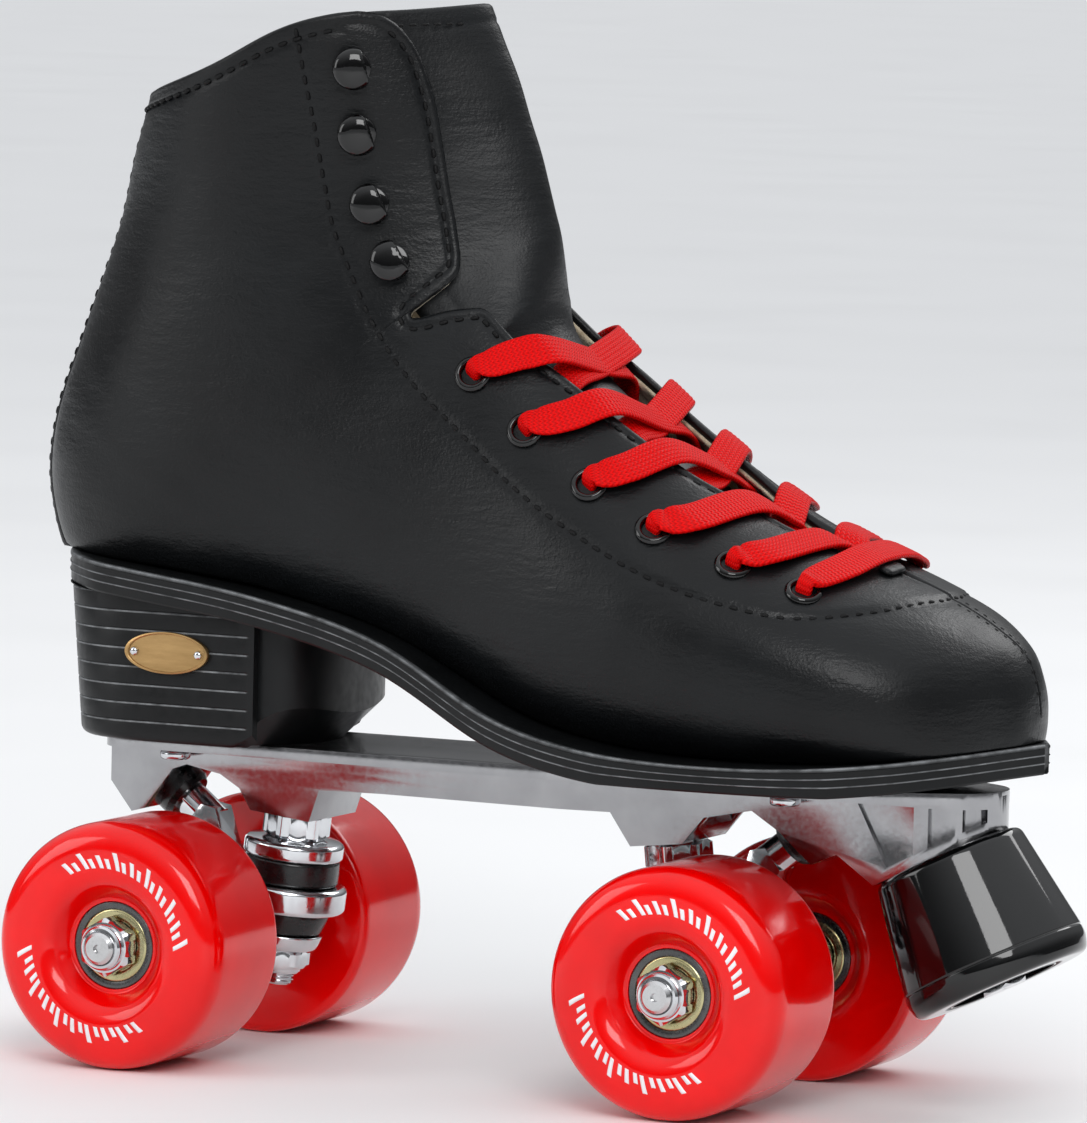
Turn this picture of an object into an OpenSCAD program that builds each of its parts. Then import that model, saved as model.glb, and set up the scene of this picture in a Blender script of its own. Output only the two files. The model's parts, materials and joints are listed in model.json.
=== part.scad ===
// Quad roller skate: laced boot on a metal plate with two cushioned trucks and four wheels.
// Millimetres. +X points to the toe, +Z up; z = 0 is the ground under the wheels.
// Inside the modules x = 0 is midway between the axles; place() moves the whole skate
// so that the origin is under the middle of its bounding box.

/* [Wheels] */
// Wheel diameter
wheel_d = 62; // [58:1:64]
// Wheel width across the tread
wheel_w = 36; // [32:1:37]
// Distance between the middles of the left and right wheels
track = 84; // [82:1:88]
// Distance between the front and rear axles
wheelbase = 152; // [150:1:156]
// Diameter of the dished recess in the wheel's face
recess_d = 33; // [30:1:36]
// Axle diameter
axle_d = 8; // [7:1:8]
// Length of the bearing spacer inside the hub
spacer_len = 10; // [9:0.5:10]

/* [Trucks] */
// Lean of the kingpin from vertical
kingpin_tilt = 6.5; // [5:0.5:8]
// Kingpin diameter above the ring
kingpin_d = 9.5; // [8:0.5:9.5]
// Outer diameter of the hanger's ring
ring_d = 29.5; // [28:0.5:30]
// Distance between the pivot cup's centre and the mid-plane between the axles
pivot_x = 88; // [87:0.5:89]
// Height of the pivot cup's centre
pivot_z = 66; // [65:0.5:67]

/* [Plate] */
// Height of the plate's top face above the ground
plate_top = 79.5; // [79:0.5:80]
// Thickness of the plate's top flange
flange_t = 3; // [2.5:0.5:3.5]
// Half width of the top flange
flange_hw = 21.5; // [20:0.5:23]
// Half width of the channel's walls
wall_hw = 13; // [12:0.5:14]

/* [Toe stop] */
// Lean of the toe stop from vertical
stop_tilt = 27; // [25:1:29]
// Diameter at the plate
stop_top_d = 38; // [36:1:40]
// Largest diameter, near the ground face
stop_low_d = 47; // [44:1:48]
// Height of the rubber
stop_h = 34.5; // [32:0.5:36]

/* [Boot] */
// Thickness of the upper
upper_t = 2.2; // [1.8:0.1:2.4]
// Thickness of the lining
lining_t = 1.2; // [1:0.1:1.4]
// Thickness of the outsole at the waist
sole_t = 7.5; // [7:0.5:8]
// Width of the flat lace
lace_w = 9; // [8:0.5:9]
// Thickness of the flat lace
lace_t = 1.5; // [1.2:0.1:1.6]

/* [Hidden] */
$fn = 48;

// Middle of the bounding box, measured from the mid-plane between the axles
mid_x = 18.05;
// Play between pieces that only touch
gap = 0.1;

// ---- Wheels and bearings ----
axle_x = wheelbase / 2;
axle_z = wheel_d / 2;
bearing_d = 22;
bearing_w = 7;
bearing_in = spacer_len / 2;
bearing_out = bearing_in + bearing_w;
ball_d = 4;
ball_pitch_r = 7.5;
race_r = 2.08;
nut_h = 7.5;
tip_len = 8.6;
axle_len = track + 2 * (bearing_out + tip_len);

// ---- Kingpin stack, measured down the kingpin from the plate's boss ----
boss_x = 52.7;
boss_z = 61.3;
jam_h = 6.6;
washer_z = 6.8;
washer_h = 4.8;
upper_z = 11.7;
ring_z = 18.2;
ring_h = 6.8;
lower_z = 25.1;
low_washer_z = 31;
low_washer_h = 4;
nut_z = 35.2;
thread_end = 44.5;
ring_mid = ring_z + ring_h / 2;
ring_x = boss_x + ring_mid * sin(kingpin_tilt);
ring_cz = boss_z - ring_mid * cos(kingpin_tilt);
pivot_angle = atan2(pivot_z - ring_cz, pivot_x - ring_x);
pin_r = 4.5;
cup_r = 7;

// ---- Toe stop ----
stop_x = 125;
stop_z = 62.7;

// ---- Boot ----
// Stations from the toe tip to the collar:
// [front x, front height, back x, back height, half width]
boot_rows = [
  [147.6, 98.6, 147.6, 98.4, 0.25],
  [146.3, 106, 146.3, 91, 7.7],
  [143, 113, 143, 84, 14.5],
  [137, 118, 137, 80, 26.5],
  [127, 123.8, 128, 79, 38],
  [113, 129.6, 114, 79, 45],
  [96, 136.2, 96, 79, 48.5],
  [78, 145, 76, 79, 49],
  [60, 157.5, 52, 80, 47],
  [45, 170, 26, 84, 43.5],
  [33, 182, 0, 95, 39.5],
  [24, 192, -26, 105, 37],
  [19.5, 199, -55, 110, 36],
  [16.5, 206, -88, 112, 35.5],
  [14, 213, -112, 118, 35.5],
  [11.5, 221, -121.8, 138, 35.5],
  [9, 229, -121.6, 158, 35.5],
  [6, 237, -113.5, 182, 35.5],
  [2.5, 247, -104.5, 206, 37],
  [-2, 257, -99.8, 226, 39],
  [-6, 266, -95.5, 240, 40.5]
];
last_row = len(boot_rows) - 1;
// Height of the outsole's top face along the boot
sole_line = [[-118, 126], [-80, 122.5], [-47, 118], [-13, 109.5], [20, 94], [45, 88],
  [75, 86], [110, 87], [150, 91.5]];
// Half width of the outsole along the boot
sole_half = [[-115, 2], [-112.5, 12], [-105.5, 23.5], [-92, 33], [-60, 36], [-28, 37.5], [0, 41],
  [30, 47], [60, 51], [85, 51.5], [105, 49], [125, 40.5], [131, 35], [138, 25.5], [142, 17.5],
  [146, 9], [149.5, 1.5]];
// Half angle of the throat opening at each station, seen from the boot's centreline
throat = [[0, 0], [5.2, 0], [5.8, 6], [7.1, 12], [9, 26], [11.5, 39], [14, 39], [18.7, 39], [20, 44]];
// Eyelets and hooks: [station, angle from the front]
eyelet_at = [[5.85, 43], [6.81, 46], [7.86, 52], [8.88, 54], [10.09, 57], [11.44, 56]];
hook_at = [[14.88, 54], [16.33, 57], [17.68, 60], [18.77, 59]];
eyelet_hole = 2.7;
eyelet_wall = 0.6;
hook_pin_r = 1.6;
stack_t = upper_t + 0.4 + lining_t;

// ---- Shared shapes ----
module place() {
  translate([-mid_x, 0, 0]) children();
}

function smooth(t) = let (u = min(max(t, 0), 1)) u * u * (3 - 2 * u);

// Smooth value at x of a curve given as [x, value] points
function slope(c, i) =
  let (a = max(i - 1, 0), b = min(i + 1, len(c) - 1)) (c[b][1] - c[a][1]) / (c[b][0] - c[a][0]);
function curve(c, x) =
  let (i = max([for (j = [0 : len(c) - 2]) (j == 0 || c[j][0] <= x) ? j : 0]),
       h = c[i + 1][0] - c[i][0],
       f = min(max((x - c[i][0]) / h, 0), 1))
  c[i][1] * (2 * pow(f, 3) - 3 * f * f + 1) + slope(c, i) * h * (pow(f, 3) - 2 * f * f + f)
  + c[i + 1][1] * (3 * f * f - 2 * pow(f, 3)) + slope(c, i + 1) * h * (pow(f, 3) - f * f);

// Boot row at a fractional station
function row_slope(j) =
  let (a = max(j - 1, 0), b = min(j + 1, last_row)) (boot_rows[b] - boot_rows[a]) / (b - a);
function row_at(k) =
  let (i = min(floor(k), last_row - 1), f = k - i)
  boot_rows[i] * (2 * pow(f, 3) - 3 * f * f + 1) + row_slope(i) * (pow(f, 3) - 2 * f * f + f)
  + boot_rows[i + 1] * (3 * f * f - 2 * pow(f, 3)) + row_slope(i + 1) * (pow(f, 3) - f * f);

function toe_swing(x) = 2.5 * smooth((x - 20) / 120);
function sole_top(x) = curve(sole_line, x);

// Point of the boot's skin: station k, angle a from the front centreline (positive on the
// right), and depth inside the outer face
function skin(k, a, depth) =
  let (v = row_at(k),
       front = [v[0], v[1]],
       back = [v[2], v[3]],
       len = max(norm(front - back), 0.01),
       inset = min(depth, 0.4 * len),
       w = max(v[4] - depth, 0.1),
       d = (front - back) / len * inset,
       c = cos(a),
       s = abs(sin(a)),
       boxy = 1 / (1.35 - 0.35 * smooth((k - 9) / 5)),
       cc = c < 0 ? -pow(-c, boxy) : c,
       power = c < 0 ? 0.8 - 0.45 * smooth((k - 13) / 4) * c : 0.95 + 0.25 * c * smooth((k - 11) / 4),
       m = (front + back) / 2 + ((front - d) - (back + d)) / 2 * cc,
       x = m[0] - depth * (1 - smooth(k / 4)),
       bump = (sin(a) < 0 ? -2.5 : 5) * smooth((k - 16) / 4) * s * s
         * (0.45 + 2.2 * c / sqrt(1 + 6.8 * c * c)),
       y = -sign(sin(a)) * w * pow(s, power) + toe_swing(x))
  [x, y, max(m[1] + bump, sole_top(x) + 0.5 + depth)];

// Outward direction of the skin
function unit(v) = v / norm(v);
function skin_normal(k, a) =
  unit(cross(skin(k + 0.1, a, 0) - skin(k - 0.1, a, 0), skin(k, a + 2, 0) - skin(k, a - 2, 0)));

// Closed thick sheet between two grids of points with the same rows and columns
module sheet(outer, inner) {
  rows = len(outer);
  cols = len(outer[0]);
  n = rows * cols;
  points = concat([for (r = outer) for (p = r) p], [for (r = inner) for (p = r) p]);
  cells = [for (i = [0 : rows - 2]) for (j = [0 : cols - 2]) i * cols + j];
  rim = concat(
    [for (j = [0 : cols - 2]) [j, j + 1]],
    [for (i = [0 : rows - 2]) [i * cols + cols - 1, (i + 1) * cols + cols - 1]],
    [for (j = [0 : cols - 2]) [n - 1 - j, n - 2 - j]],
    [for (i = [0 : rows - 2]) [(rows - 1 - i) * cols, (rows - 2 - i) * cols]]);
  faces = concat(
    [for (q = cells) [q, q + cols + 1, q + cols]],
    [for (q = cells) [q, q + 1, q + cols + 1]],
    [for (q = cells) [n + q, n + q + cols, n + q + cols + 1]],
    [for (q = cells) [n + q, n + q + cols + 1, n + q + 1]],
    [for (e = rim) [e[0], n + e[1], e[1]]],
    [for (e = rim) [e[0], n + e[0], n + e[1]]]);
  polyhedron(points = points, faces = faces, convexity = 10);
}

// Sheet that follows the boot's skin between two depths
module skin_sheet(stations, angles, top_depth, low_depth) {
  sheet([for (k = stations) [for (a = angles(k)) skin(k, a, top_depth(k, a))]],
        [for (k = stations) [for (a = angles(k)) skin(k, a, low_depth(k, a))]]);
}

// Puts its children on the skin with +Z pointing outwards
module on_skin(k, a, depth = 0) {
  n = skin_normal(k, a);
  translate(skin(k, a, depth)) rotate([0, acos(n[2]), atan2(n[1], n[0])]) children();
}

module ring(outer_r, inner_r, h) {
  difference() {
    cylinder(r = outer_r, h = h);
    translate([0, 0, -1]) cylinder(r = inner_r, h = h + 2);
  }
}

// Points of an arc round (cx, cy)
function arc(cx, cy, r, from, to, steps) =
  [for (i = [0 : steps]) let (t = from + (to - from) * i / steps) [cx + r * cos(t), cy + r * sin(t)]];

// Disc with rounded edges and a hole, standing on z = 0
module rounded_ring(outer_r, inner_r, h, edge) {
  rotate_extrude() {
    translate([inner_r, 0]) square([outer_r - inner_r - edge, h]);
    translate([outer_r - edge - 0.01, edge]) square([edge + 0.01, h - 2 * edge]);
    translate([outer_r - edge, edge]) circle(r = edge, $fn = 32);
    translate([outer_r - edge, h - edge]) circle(r = edge, $fn = 32);
  }
}

// Hexagon nut with chamfered corners, standing on z = 0
module hex_nut(across, hole_r, h) {
  r = across / 2 / cos(30);
  bevel = r - across / 2;
  difference() {
    intersection() {
      cylinder(r = r, h = h, $fn = 6);
      rotate_extrude()
        polygon([[0, 0], [across / 2, 0], [r, bevel], [r, h - bevel], [across / 2, h], [0, h]]);
    }
    translate([0, 0, -1]) cylinder(r = hole_r, h = h + 2);
  }
}

// ---- Boot ----
function spread(from, to, steps) = [for (i = [0 : steps]) from + (to - from) * i / steps];
function facing(k) = max(curve(throat, k), 0);
half_rows = concat([0, 0.5], spread(1, last_row, 30));
half_cols = 14;

module eyelet_cut(side, r) {
  for (e = eyelet_at)
    on_skin(e[0], side * e[1]) translate([0, 0, -15]) cylinder(r = r, h = 20, $fn = 24);
}

module hook_cut(side, r) {
  for (h = hook_at)
    on_skin(h[0], side * h[1]) translate([0, 0, -9]) cylinder(r = r, h = 14, $fn = 24);
}

// One half of the upper: side is 1 on the right, -1 on the left
module upper_half(side) {
  color("#1a1c1e") difference() {
    skin_sheet(half_rows,
      side > 0 ? function (k) spread(facing(k) + 0.4, 179.6, half_cols)
               : function (k) spread(180.4, 359.6 - facing(k), half_cols),
      function (k, a) 0,
      function (k, a) upper_t);
    eyelet_cut(side, eyelet_hole + eyelet_wall);
    hook_cut(side, hook_pin_r);
  }
}
module upper_right() { upper_half(1); }
module upper_left() { upper_half(-1); }

module backstay() {
  color("#141516")
    skin_sheet(spread(14.6, last_row - 0.05, 14),
      function (k) spread(168, 192, 8),
      function (k, a) -1.2,
      function (k, a) -0.15);
}

module lining() {
  color("#cbb98f") difference() {
    skin_sheet(concat([for (k = half_rows) if (k >= 1 && k < last_row) k], [last_row - 0.1]),
      function (k) concat(spread(facing(k) + 0.6, 179.4, half_cols),
                          spread(180.6, 359.4 - facing(k), half_cols)),
      function (k, a) upper_t + 0.4,
      function (k, a) stack_t);
    eyelet_cut(1, eyelet_hole + eyelet_wall);
    eyelet_cut(-1, eyelet_hole + eyelet_wall);
    hook_cut(1, hook_pin_r);
    hook_cut(-1, hook_pin_r);
  }
}

// Depth of the tongue's face: proud in the shaft, sunk under the laces
tongue_sink = [[5.6, 7], [10.5, 9], [11.5, 7], [12.5, 1.2], [13.8, -1.6], [20, -1.6]];
function tongue_depth(k, a) =
  let (base = curve(tongue_sink, k), edge = stack_t + 0.8)
  base + max(edge - base, 0) * smooth(abs(a) / max(facing(k) - 2, 8));
module tongue() {
  color("#26282a")
    skin_sheet(spread(6, last_row, 26),
      function (k) spread(-min(facing(k) + 14, 52), min(facing(k) + 14, 52), 16),
      function (k, a) tongue_depth(k, a),
      function (k, a) tongue_depth(k, a) + 2.5);
}

module footbed() {
  color("#8a8068")
    skin_sheet(spread(2.2, 13.4, 18),
      function (k) spread(128, 232, 12),
      function (k, a) stack_t + 1,
      function (k, a) stack_t + 3.6);
}

sole_steps = spread(-115, 149.5, 60);
module outsole() {
  color("#17181a") difference() {
    intersection() {
      translate([0, 0, 70]) linear_extrude(height = 65)
        polygon(concat(
          [for (x = sole_steps) [x, curve(sole_half, x) + toe_swing(x)]],
          [for (i = [60 : -1 : 0]) let (x = sole_steps[i]) [x, toe_swing(x) - curve(sole_half, x)]]));
      translate([0, 70, 0]) rotate([90, 0, 0]) linear_extrude(height = 140)
        polygon(concat(
          [for (x = sole_steps) [x, sole_top(x)]],
          [for (i = [60 : -1 : 0]) let (x = sole_steps[i]) [x, sole_low(x)]]));
    }
    screw_holes();
  }
}
function sole_low(x) = max(sole_top(x) - sole_t, plate_top + gap);

// Heel: a core with a rounded nose under the arch, and a wrap round its back and sides
heel_back = -108.6;
heel_lean = 5;
heel_hw = 31;
heel_round_x = -84;
nose_start = -50;
nose_len = 14;
wrap_front = -50.3;
wrap_t = 2.5;
// Half of a squarish ellipse, bulging towards -X
module half_round(a, b) {
  polygon([for (t = spread(90, 270, 24)) let (c = cos(t), s = sin(t))
    [a * sign(c) * pow(abs(c), 0.85), b * sign(s) * pow(abs(s), 0.85)]]);
}
// Leaning walls of the heel's back and sides, open to the front
module heel_walls(grow) {
  translate([heel_back, 0, plate_top]) rotate([0, -heel_lean, 0]) translate([-heel_back, 0, -10])
    linear_extrude(height = 60) {
      translate([heel_round_x, 0]) half_round(heel_round_x - heel_back + grow, heel_hw + grow);
      translate([heel_round_x, -heel_hw - grow]) square([90, 2 * (heel_hw + grow)]);
    }
}
// Side view of the heel, from the plate up to the outsole
module heel_side() {
  xs = spread(-122, -30, 22);
  translate([0, 60, 0]) rotate([90, 0, 0]) linear_extrude(height = 120)
    polygon(concat([for (x = xs) [x, sole_top(x) - sole_t - gap]],
      [[-30, plate_top + gap], [-122, plate_top + gap]]));
}
// Keeps what lies behind a cone that cuts the lower front corner; r is its radius at the plate
module corner_limit(r) {
  translate([-75, 0, plate_top]) cylinder(r1 = r, r2 = r + 50, h = 50);
  translate([-130, -60, plate_top]) cube([55, 120, 50]);
}
module heel_block() {
  hw = heel_hw - wrap_t - gap;
  color("#111214") difference() {
    intersection() {
      heel_walls(-wrap_t - gap);
      heel_side();
      corner_limit(31);
      translate([0, 0, 75]) linear_extrude(height = 50) {
        translate([-130, -hw]) square([130 + nose_start, 2 * hw]);
        translate([nose_start, 0]) mirror([1, 0]) half_round(nose_len, hw);
      }
    }
    screw_holes();
  }
}
module heel_wrap() {
  color("#17181a") intersection() {
    difference() {
      heel_walls(0);
      heel_walls(-wrap_t);
      translate([wrap_front, -60, 60]) cube([100, 120, 80]);
    }
    heel_side();
    corner_limit(36);
  }
}
module heel_badge() {
  color("#b98a4e") translate([-74.5, -heel_hw - gap, 102.3]) rotate([90, 0, 0]) {
    linear_extrude(height = 1) polygon([for (t = spread(0, 354, 59)) [11.8 * cos(t), 5.3 * sin(t)]]);
    for (x = [-9.3, 9.3]) translate([x, 0, 1]) cylinder(r = 1.1, h = 0.6, $fn = 24);
  }
}

module eyelets() {
  color("#0c0c0d") for (side = [-1, 1]) for (e = eyelet_at)
    on_skin(e[0], side * e[1]) {
      difference() {
        union() {
          translate([0, 0, 0.35]) rounded_ring(4.6, eyelet_hole, 1.2, 0.55);
          translate([0, 0, -stack_t - 0.6])
            cylinder(r = eyelet_hole + eyelet_wall - 0.05, h = stack_t + 1.2);
        }
        translate([0, 0, -9]) cylinder(r = eyelet_hole, h = 14);
      }
    }
}

module lace_hooks() {
  color("#0c0c0d") for (side = [-1, 1]) for (h = hook_at)
    on_skin(h[0], side * h[1]) {
      translate([0, 0, -stack_t - 0.5]) cylinder(r = hook_pin_r - 0.05, h = stack_t + 1);
      translate([0, 0, 0.45]) cylinder(r = 4.4, h = 1);
      translate([0, 0, 1.4]) cylinder(r = 2.4, h = 2.6);
      translate([0, 0, 3.9]) rounded_ring(4.9, 0, 2, 0.9);
    }
}

module throat_tab() {
  color("#0c0c0d") translate(skin(5.2, 6, -1.6)) rotate([4, 24, 0])
    translate([-2.2, -5, -0.9]) cube([4.4, 10, 1.8]);
}

// ---- Lace: one flat strand, threaded through every eyelet ----
// Route as [station, angle, depth, narrowing]; narrowing is 1 inside an eyelet
rows_n = len(eyelet_at);
// Depth of the straight line across the throat below the skin's ridge
function sag(k) = norm(skin(k, 0, 0) - (skin(k, facing(k), 0) + skin(k, -facing(k), 0)) / 2);
function strap(i, side) =
  let (a = eyelet_at[i],
       b = eyelet_at[i + 1],
       rise = b[0] - a[0],
       mid = a[0] + 0.12 * rise,
       cross_depth = min(sag(mid) + (side < 0 ? 0.5 : 2.7), curve(tongue_sink, mid) - 2.4))
  [[a[0], side * a[1], stack_t + 0.9, 1],
   [a[0] + 0.02, side * (a[1] - 3), stack_t + 2.4, 0.8],
   [a[0] + 0.05 * rise, side * (facing(a[0]) + 8), stack_t + 1.8, 0.3],
   [a[0] + 0.08 * rise, side * facing(a[0]) * 0.75, 4.7, 0],
   [mid, 0, cross_depth, 0],
   [a[0] + 0.3 * rise, -side * facing(b[0]) * 0.8, -2.2, 0],
   [a[0] + 0.58 * rise, -side * (b[1] - 14), -2.9, 0],
   [a[0] + 0.84 * rise, -side * (b[1] - 5), -2.9, 0.3],
   [b[0], -side * (b[1] - 2), -2.9, 1],
   [b[0], -side * b[1], 1, 1]];
function strand(side) = [for (i = [0 : rows_n - 2]) each strap(i, i % 2 == 0 ? side : -side)];
function tail(side) =
  let (t = eyelet_at[rows_n - 1])
  [[t[0], side * t[1], stack_t + 0.9, 1],
   [t[0] - 0.1, side * (t[1] + 1), stack_t + 2.6, 0.8],
   [t[0] - 0.3, side * (t[1] + 3), stack_t + 4, 0.4],
   [t[0] - 0.9, side * (t[1] + 10), stack_t + 5, 0.3]];
bar_row = eyelet_at[0];
bar_half = [[bar_row[0], bar_row[1], 1, 1],
  [bar_row[0], bar_row[1] - 2, -2.9, 1],
  [bar_row[0] - 0.12, bar_row[1] - 7, -2.9, 0.3],
  [bar_row[0] - 0.3, bar_row[1] - 20, -3, 0],
  [bar_row[0] - 0.4, 8, -3.9, 0]];
function reversed(list) = [for (i = [len(list) - 1 : -1 : 0]) list[i]];
bar = concat(bar_half, reversed([for (r = bar_half) [r[0], -r[1], r[2], r[3]]]));
// The odd number of crossings brings each strand's tail out on the side opposite its start
route = concat(reversed(tail(-1)), reversed(strand(1)), bar, strand(-1), tail(1));
function spot(i) = route[min(max(i, 0), len(route) - 1)];
function knot(i) =
  let (r = spot(i))
  r[3] == 1 ? skin(r[0], r[1], 0) - skin_normal(r[0], r[1]) * r[2] : skin(r[0], r[1], r[2]);
function lace_point(i, f) =
  let (p = knot(i - 1), q = knot(i), r = knot(i + 1), s = knot(i + 2))
  0.5 * (2 * q + (r - p) * f + (2 * p - 5 * q + 4 * r - s) * f * f
    + (3 * q - p - 3 * r + s) * pow(f, 3));
lace_cuts = 2;
lace_n = (len(route) - 1) * lace_cuts;
function lace_at(j) = let (i = min(floor(j / lace_cuts), len(route) - 2)) lace_point(i, j / lace_cuts - i);
function lace_ring(j) =
  let (i = min(floor(j / lace_cuts), len(route) - 2),
       f = j / lace_cuts - i,
       at = spot(i) * (1 - f) + spot(i + 1) * f,
       along = unit(lace_at(min(j + 0.5, lace_n)) - lace_at(max(j - 0.5, 0))),
       length_dir = unit(skin(at[0] + 0.3, at[1], 0) - skin(at[0] - 0.3, at[1], 0)),
       wide = unit(length_dir - along * (along * length_dir)),
       thick = cross(along, wide),
       hw = lace_w / 2 * (1 - at[3]) + 1.4 * at[3],
       ht = lace_t / 2 * (1 - at[3]) + 0.9 * at[3])
  [for (c = [[1, 0.3], [0.85, 1], [-0.85, 1], [-1, 0.3], [-1, -0.3], [-0.85, -1], [0.85, -1], [1, -0.3]])
    lace_at(j) + wide * hw * c[0] + thick * ht * c[1]];
module lace() {
  sides = 8;
  points = [for (j = [0 : lace_n]) each lace_ring(j)];
  walls = [for (j = [0 : lace_n - 1]) for (s = [0 : sides - 1])
    let (a = j * sides + s, b = j * sides + (s + 1) % sides) [a, a + sides, b + sides, b]];
  first = [for (s = [0 : sides - 1]) s];
  last = [for (s = [0 : sides - 1]) (lace_n + 1) * sides - 1 - s];
  color("#d81414")
    polyhedron(points = points, convexity = 10, faces = concat([first, last],
      [for (q = walls) [q[0], q[1], q[2]]], [for (q = walls) [q[0], q[2], q[3]]]));
}

// ---- Plate ----
boss_rise = tan(kingpin_tilt);
stop_rise = tan(stop_tilt);
plate_end = 139.8;
nose_x = plate_end - wall_hw;
plate_back = -99.5;
// Side view of the channel's walls and bosses, from the back round the bottom to the front
plate_side = [
  [plate_back, plate_top - 1], [plate_back, 67], [-93.5, 59.5], [-90, 60.5], [-82, 71],
  [-78, 72.4], [-68.5, 70.6], [-63, 67.4],
  [-boss_x - 7, boss_z + 7 * boss_rise], [-boss_x + 9.5, boss_z - 9.5 * boss_rise],
  [-40.5, 68.4], [-23, 68.7], [26, 68.4], [40, 68.6],
  [boss_x - 7, boss_z - 7 * boss_rise], [boss_x + 7, boss_z + 7 * boss_rise],
  [65.4, 69], [78.2, 71.6], [85.6, 67], [94.3, 59.5], [101.1, 62.5],
  [stop_x - 14, stop_z - 14 * stop_rise],
  [plate_end, stop_z + (plate_end - stop_x) * stop_rise], [plate_end, plate_top - 1]
];
screw_at = [[-79, 1], [89, 1], [-79, -1], [89, -1]];
screw_y = 17.3;
screw_r = 2.5;
screw_len = 9;

module along_y(hw) {
  translate([0, hw, 0]) rotate([90, 0, 0]) linear_extrude(height = 2 * hw) children();
}
module screw_holes() {
  for (s = screw_at)
    translate([s[0], s[1] * screw_y, plate_top - flange_t - 1])
      cylinder(r = screw_r, h = screw_len + flange_t, $fn = 24);
}
// Places its children on the kingpin, with -Z running down it; end is 1 in front, -1 behind
module on_kingpin(end) {
  mirror([end < 0 ? 1 : 0, 0, 0])
    translate([boss_x, 0, boss_z]) rotate([0, -kingpin_tilt, 0]) children();
}
// Places its children at the pivot cup, with -Z pointing to the ring
module on_pivot(end) {
  mirror([end < 0 ? 1 : 0, 0, 0])
    translate([pivot_x, 0, pivot_z]) rotate([0, 90 - pivot_angle, 0]) children();
}
module on_toe_stop() {
  translate([stop_x, 0, stop_z]) rotate([0, -stop_tilt, 0]) children();
}

// Plan of the channel's walls, with a round nose
module wall_plan(hw) {
  translate([nose_x, 0]) circle(r = hw, $fn = 96);
  translate([plate_back - 1, -hw]) square([nose_x - plate_back + 1, 2 * hw]);
}
// Pocket in the wall between x0 and x1, from the toe stop's face up to the flange
module pocket(x0, x1, slant) {
  low0 = stop_z + (x0 + slant - stop_x) * stop_rise + 3;
  low1 = stop_z + (x1 - stop_x) * stop_rise + 3;
  top = plate_top - flange_t - 1;
  along_y(wall_hw + 5) polygon([[x0, top], [x0 + slant, low0], [x1, low1], [x1, top]]);
}

module plate() {
  color("#c9ccd0") difference() {
    union() {
      translate([0, 0, plate_top - flange_t]) linear_extrude(height = flange_t)
        polygon(concat(
          arc(nose_x - 1, 0, wall_hw + 1, -60, 60, 16),
          [[nose_x - 10.8, flange_hw]],
          arc(plate_back + 8, flange_hw - 8, 8, 90, 180, 6),
          arc(plate_back + 8, 8 - flange_hw, 8, 180, 270, 6),
          [[nose_x - 10.8, -flange_hw]]));
      intersection() {
        along_y(wall_hw) polygon(plate_side);
        translate([0, 0, 50]) linear_extrude(height = 40) wall_plan(wall_hw);
      }
    }
    // Channel between the bosses, open below
    along_y(wall_hw - 3.5)
      polygon([[-38, 60], [-38, plate_top - 4], [42, plate_top - 4], [42, 60]]);
    // Hollow above each axle, between kingpin and pivot bosses
    for (end = [-1, 1])
      along_y(wall_hw - 3.5)
        polygon([[end * 63, 60], [end * 63, plate_top - 4], [end * 76, plate_top - 4], [end * 76, 60]]);
    // Pockets round the toe stop block
    difference() {
      union() {
        pocket(106.4, 121.3, 8);
        pocket(125.1, 131.8, 0);
        pocket(133.4, 138, 0);
      }
      translate([0, 0, 50]) linear_extrude(height = 40) wall_plan(wall_hw - 1.5);
    }
    for (end = [-1, 1]) {
      on_kingpin(end) translate([0, 0, -1]) cylinder(d = kingpin_d, h = 15);
      on_pivot(end) translate([0, 0, -12]) cylinder(r = cup_r, h = 19);
    }
    on_toe_stop() translate([0, 0, -1]) cylinder(r = 4, h = 11);
    screw_holes();
  }
}

// Pan head under the flange, shank up into the sole
module mounting_screws() {
  color("#d5d7da") for (s = screw_at)
    translate([s[0], s[1] * screw_y, plate_top - flange_t]) {
      translate([0, 0, -0.4]) cylinder(r = screw_r, h = screw_len - 1, $fn = 24);
      translate([0, 0, -2.4]) rounded_ring(3.9, 0, 2.4, 1);
    }
}

// ---- Toe stop ----
recess_r = 13.5;
recess_h = 5;
module toe_stop() {
  rt = stop_top_d / 2;
  rl = stop_low_d / 2;
  round_r = 5;
  color("#0d0d0f") on_toe_stop() translate([0, 0, -gap]) difference() {
    rotate_extrude($fn = 96)
      polygon(concat([[0, 0], [rt - 1.5, 0], [rt, -1.5]],
        arc(rl - round_r, round_r - stop_h, round_r, 10, -90, 8), [[0, -stop_h]]));
    translate([0, 0, -stop_h - 1]) cylinder(r = recess_r, h = recess_h + 1);
    translate([0, 0, -stop_h - 1]) cylinder(r = 4.2, h = stop_h + 2);
  }
}
module toe_stop_washer() {
  color("#b8bbc0") on_toe_stop() translate([0, 0, -gap - stop_h + recess_h - 1.6]) ring(11, 4.2, 1.5);
}
module toe_stop_bolt() {
  head_top = -gap - stop_h + recess_h - 1.7;
  color("#b8bbc0") on_toe_stop() {
    translate([0, 0, head_top - 0.1]) cylinder(r = 4, h = 9.5 - head_top);
    translate([0, 0, head_top - 4]) hex_nut(11, 0.5, 4);
  }
}

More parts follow.
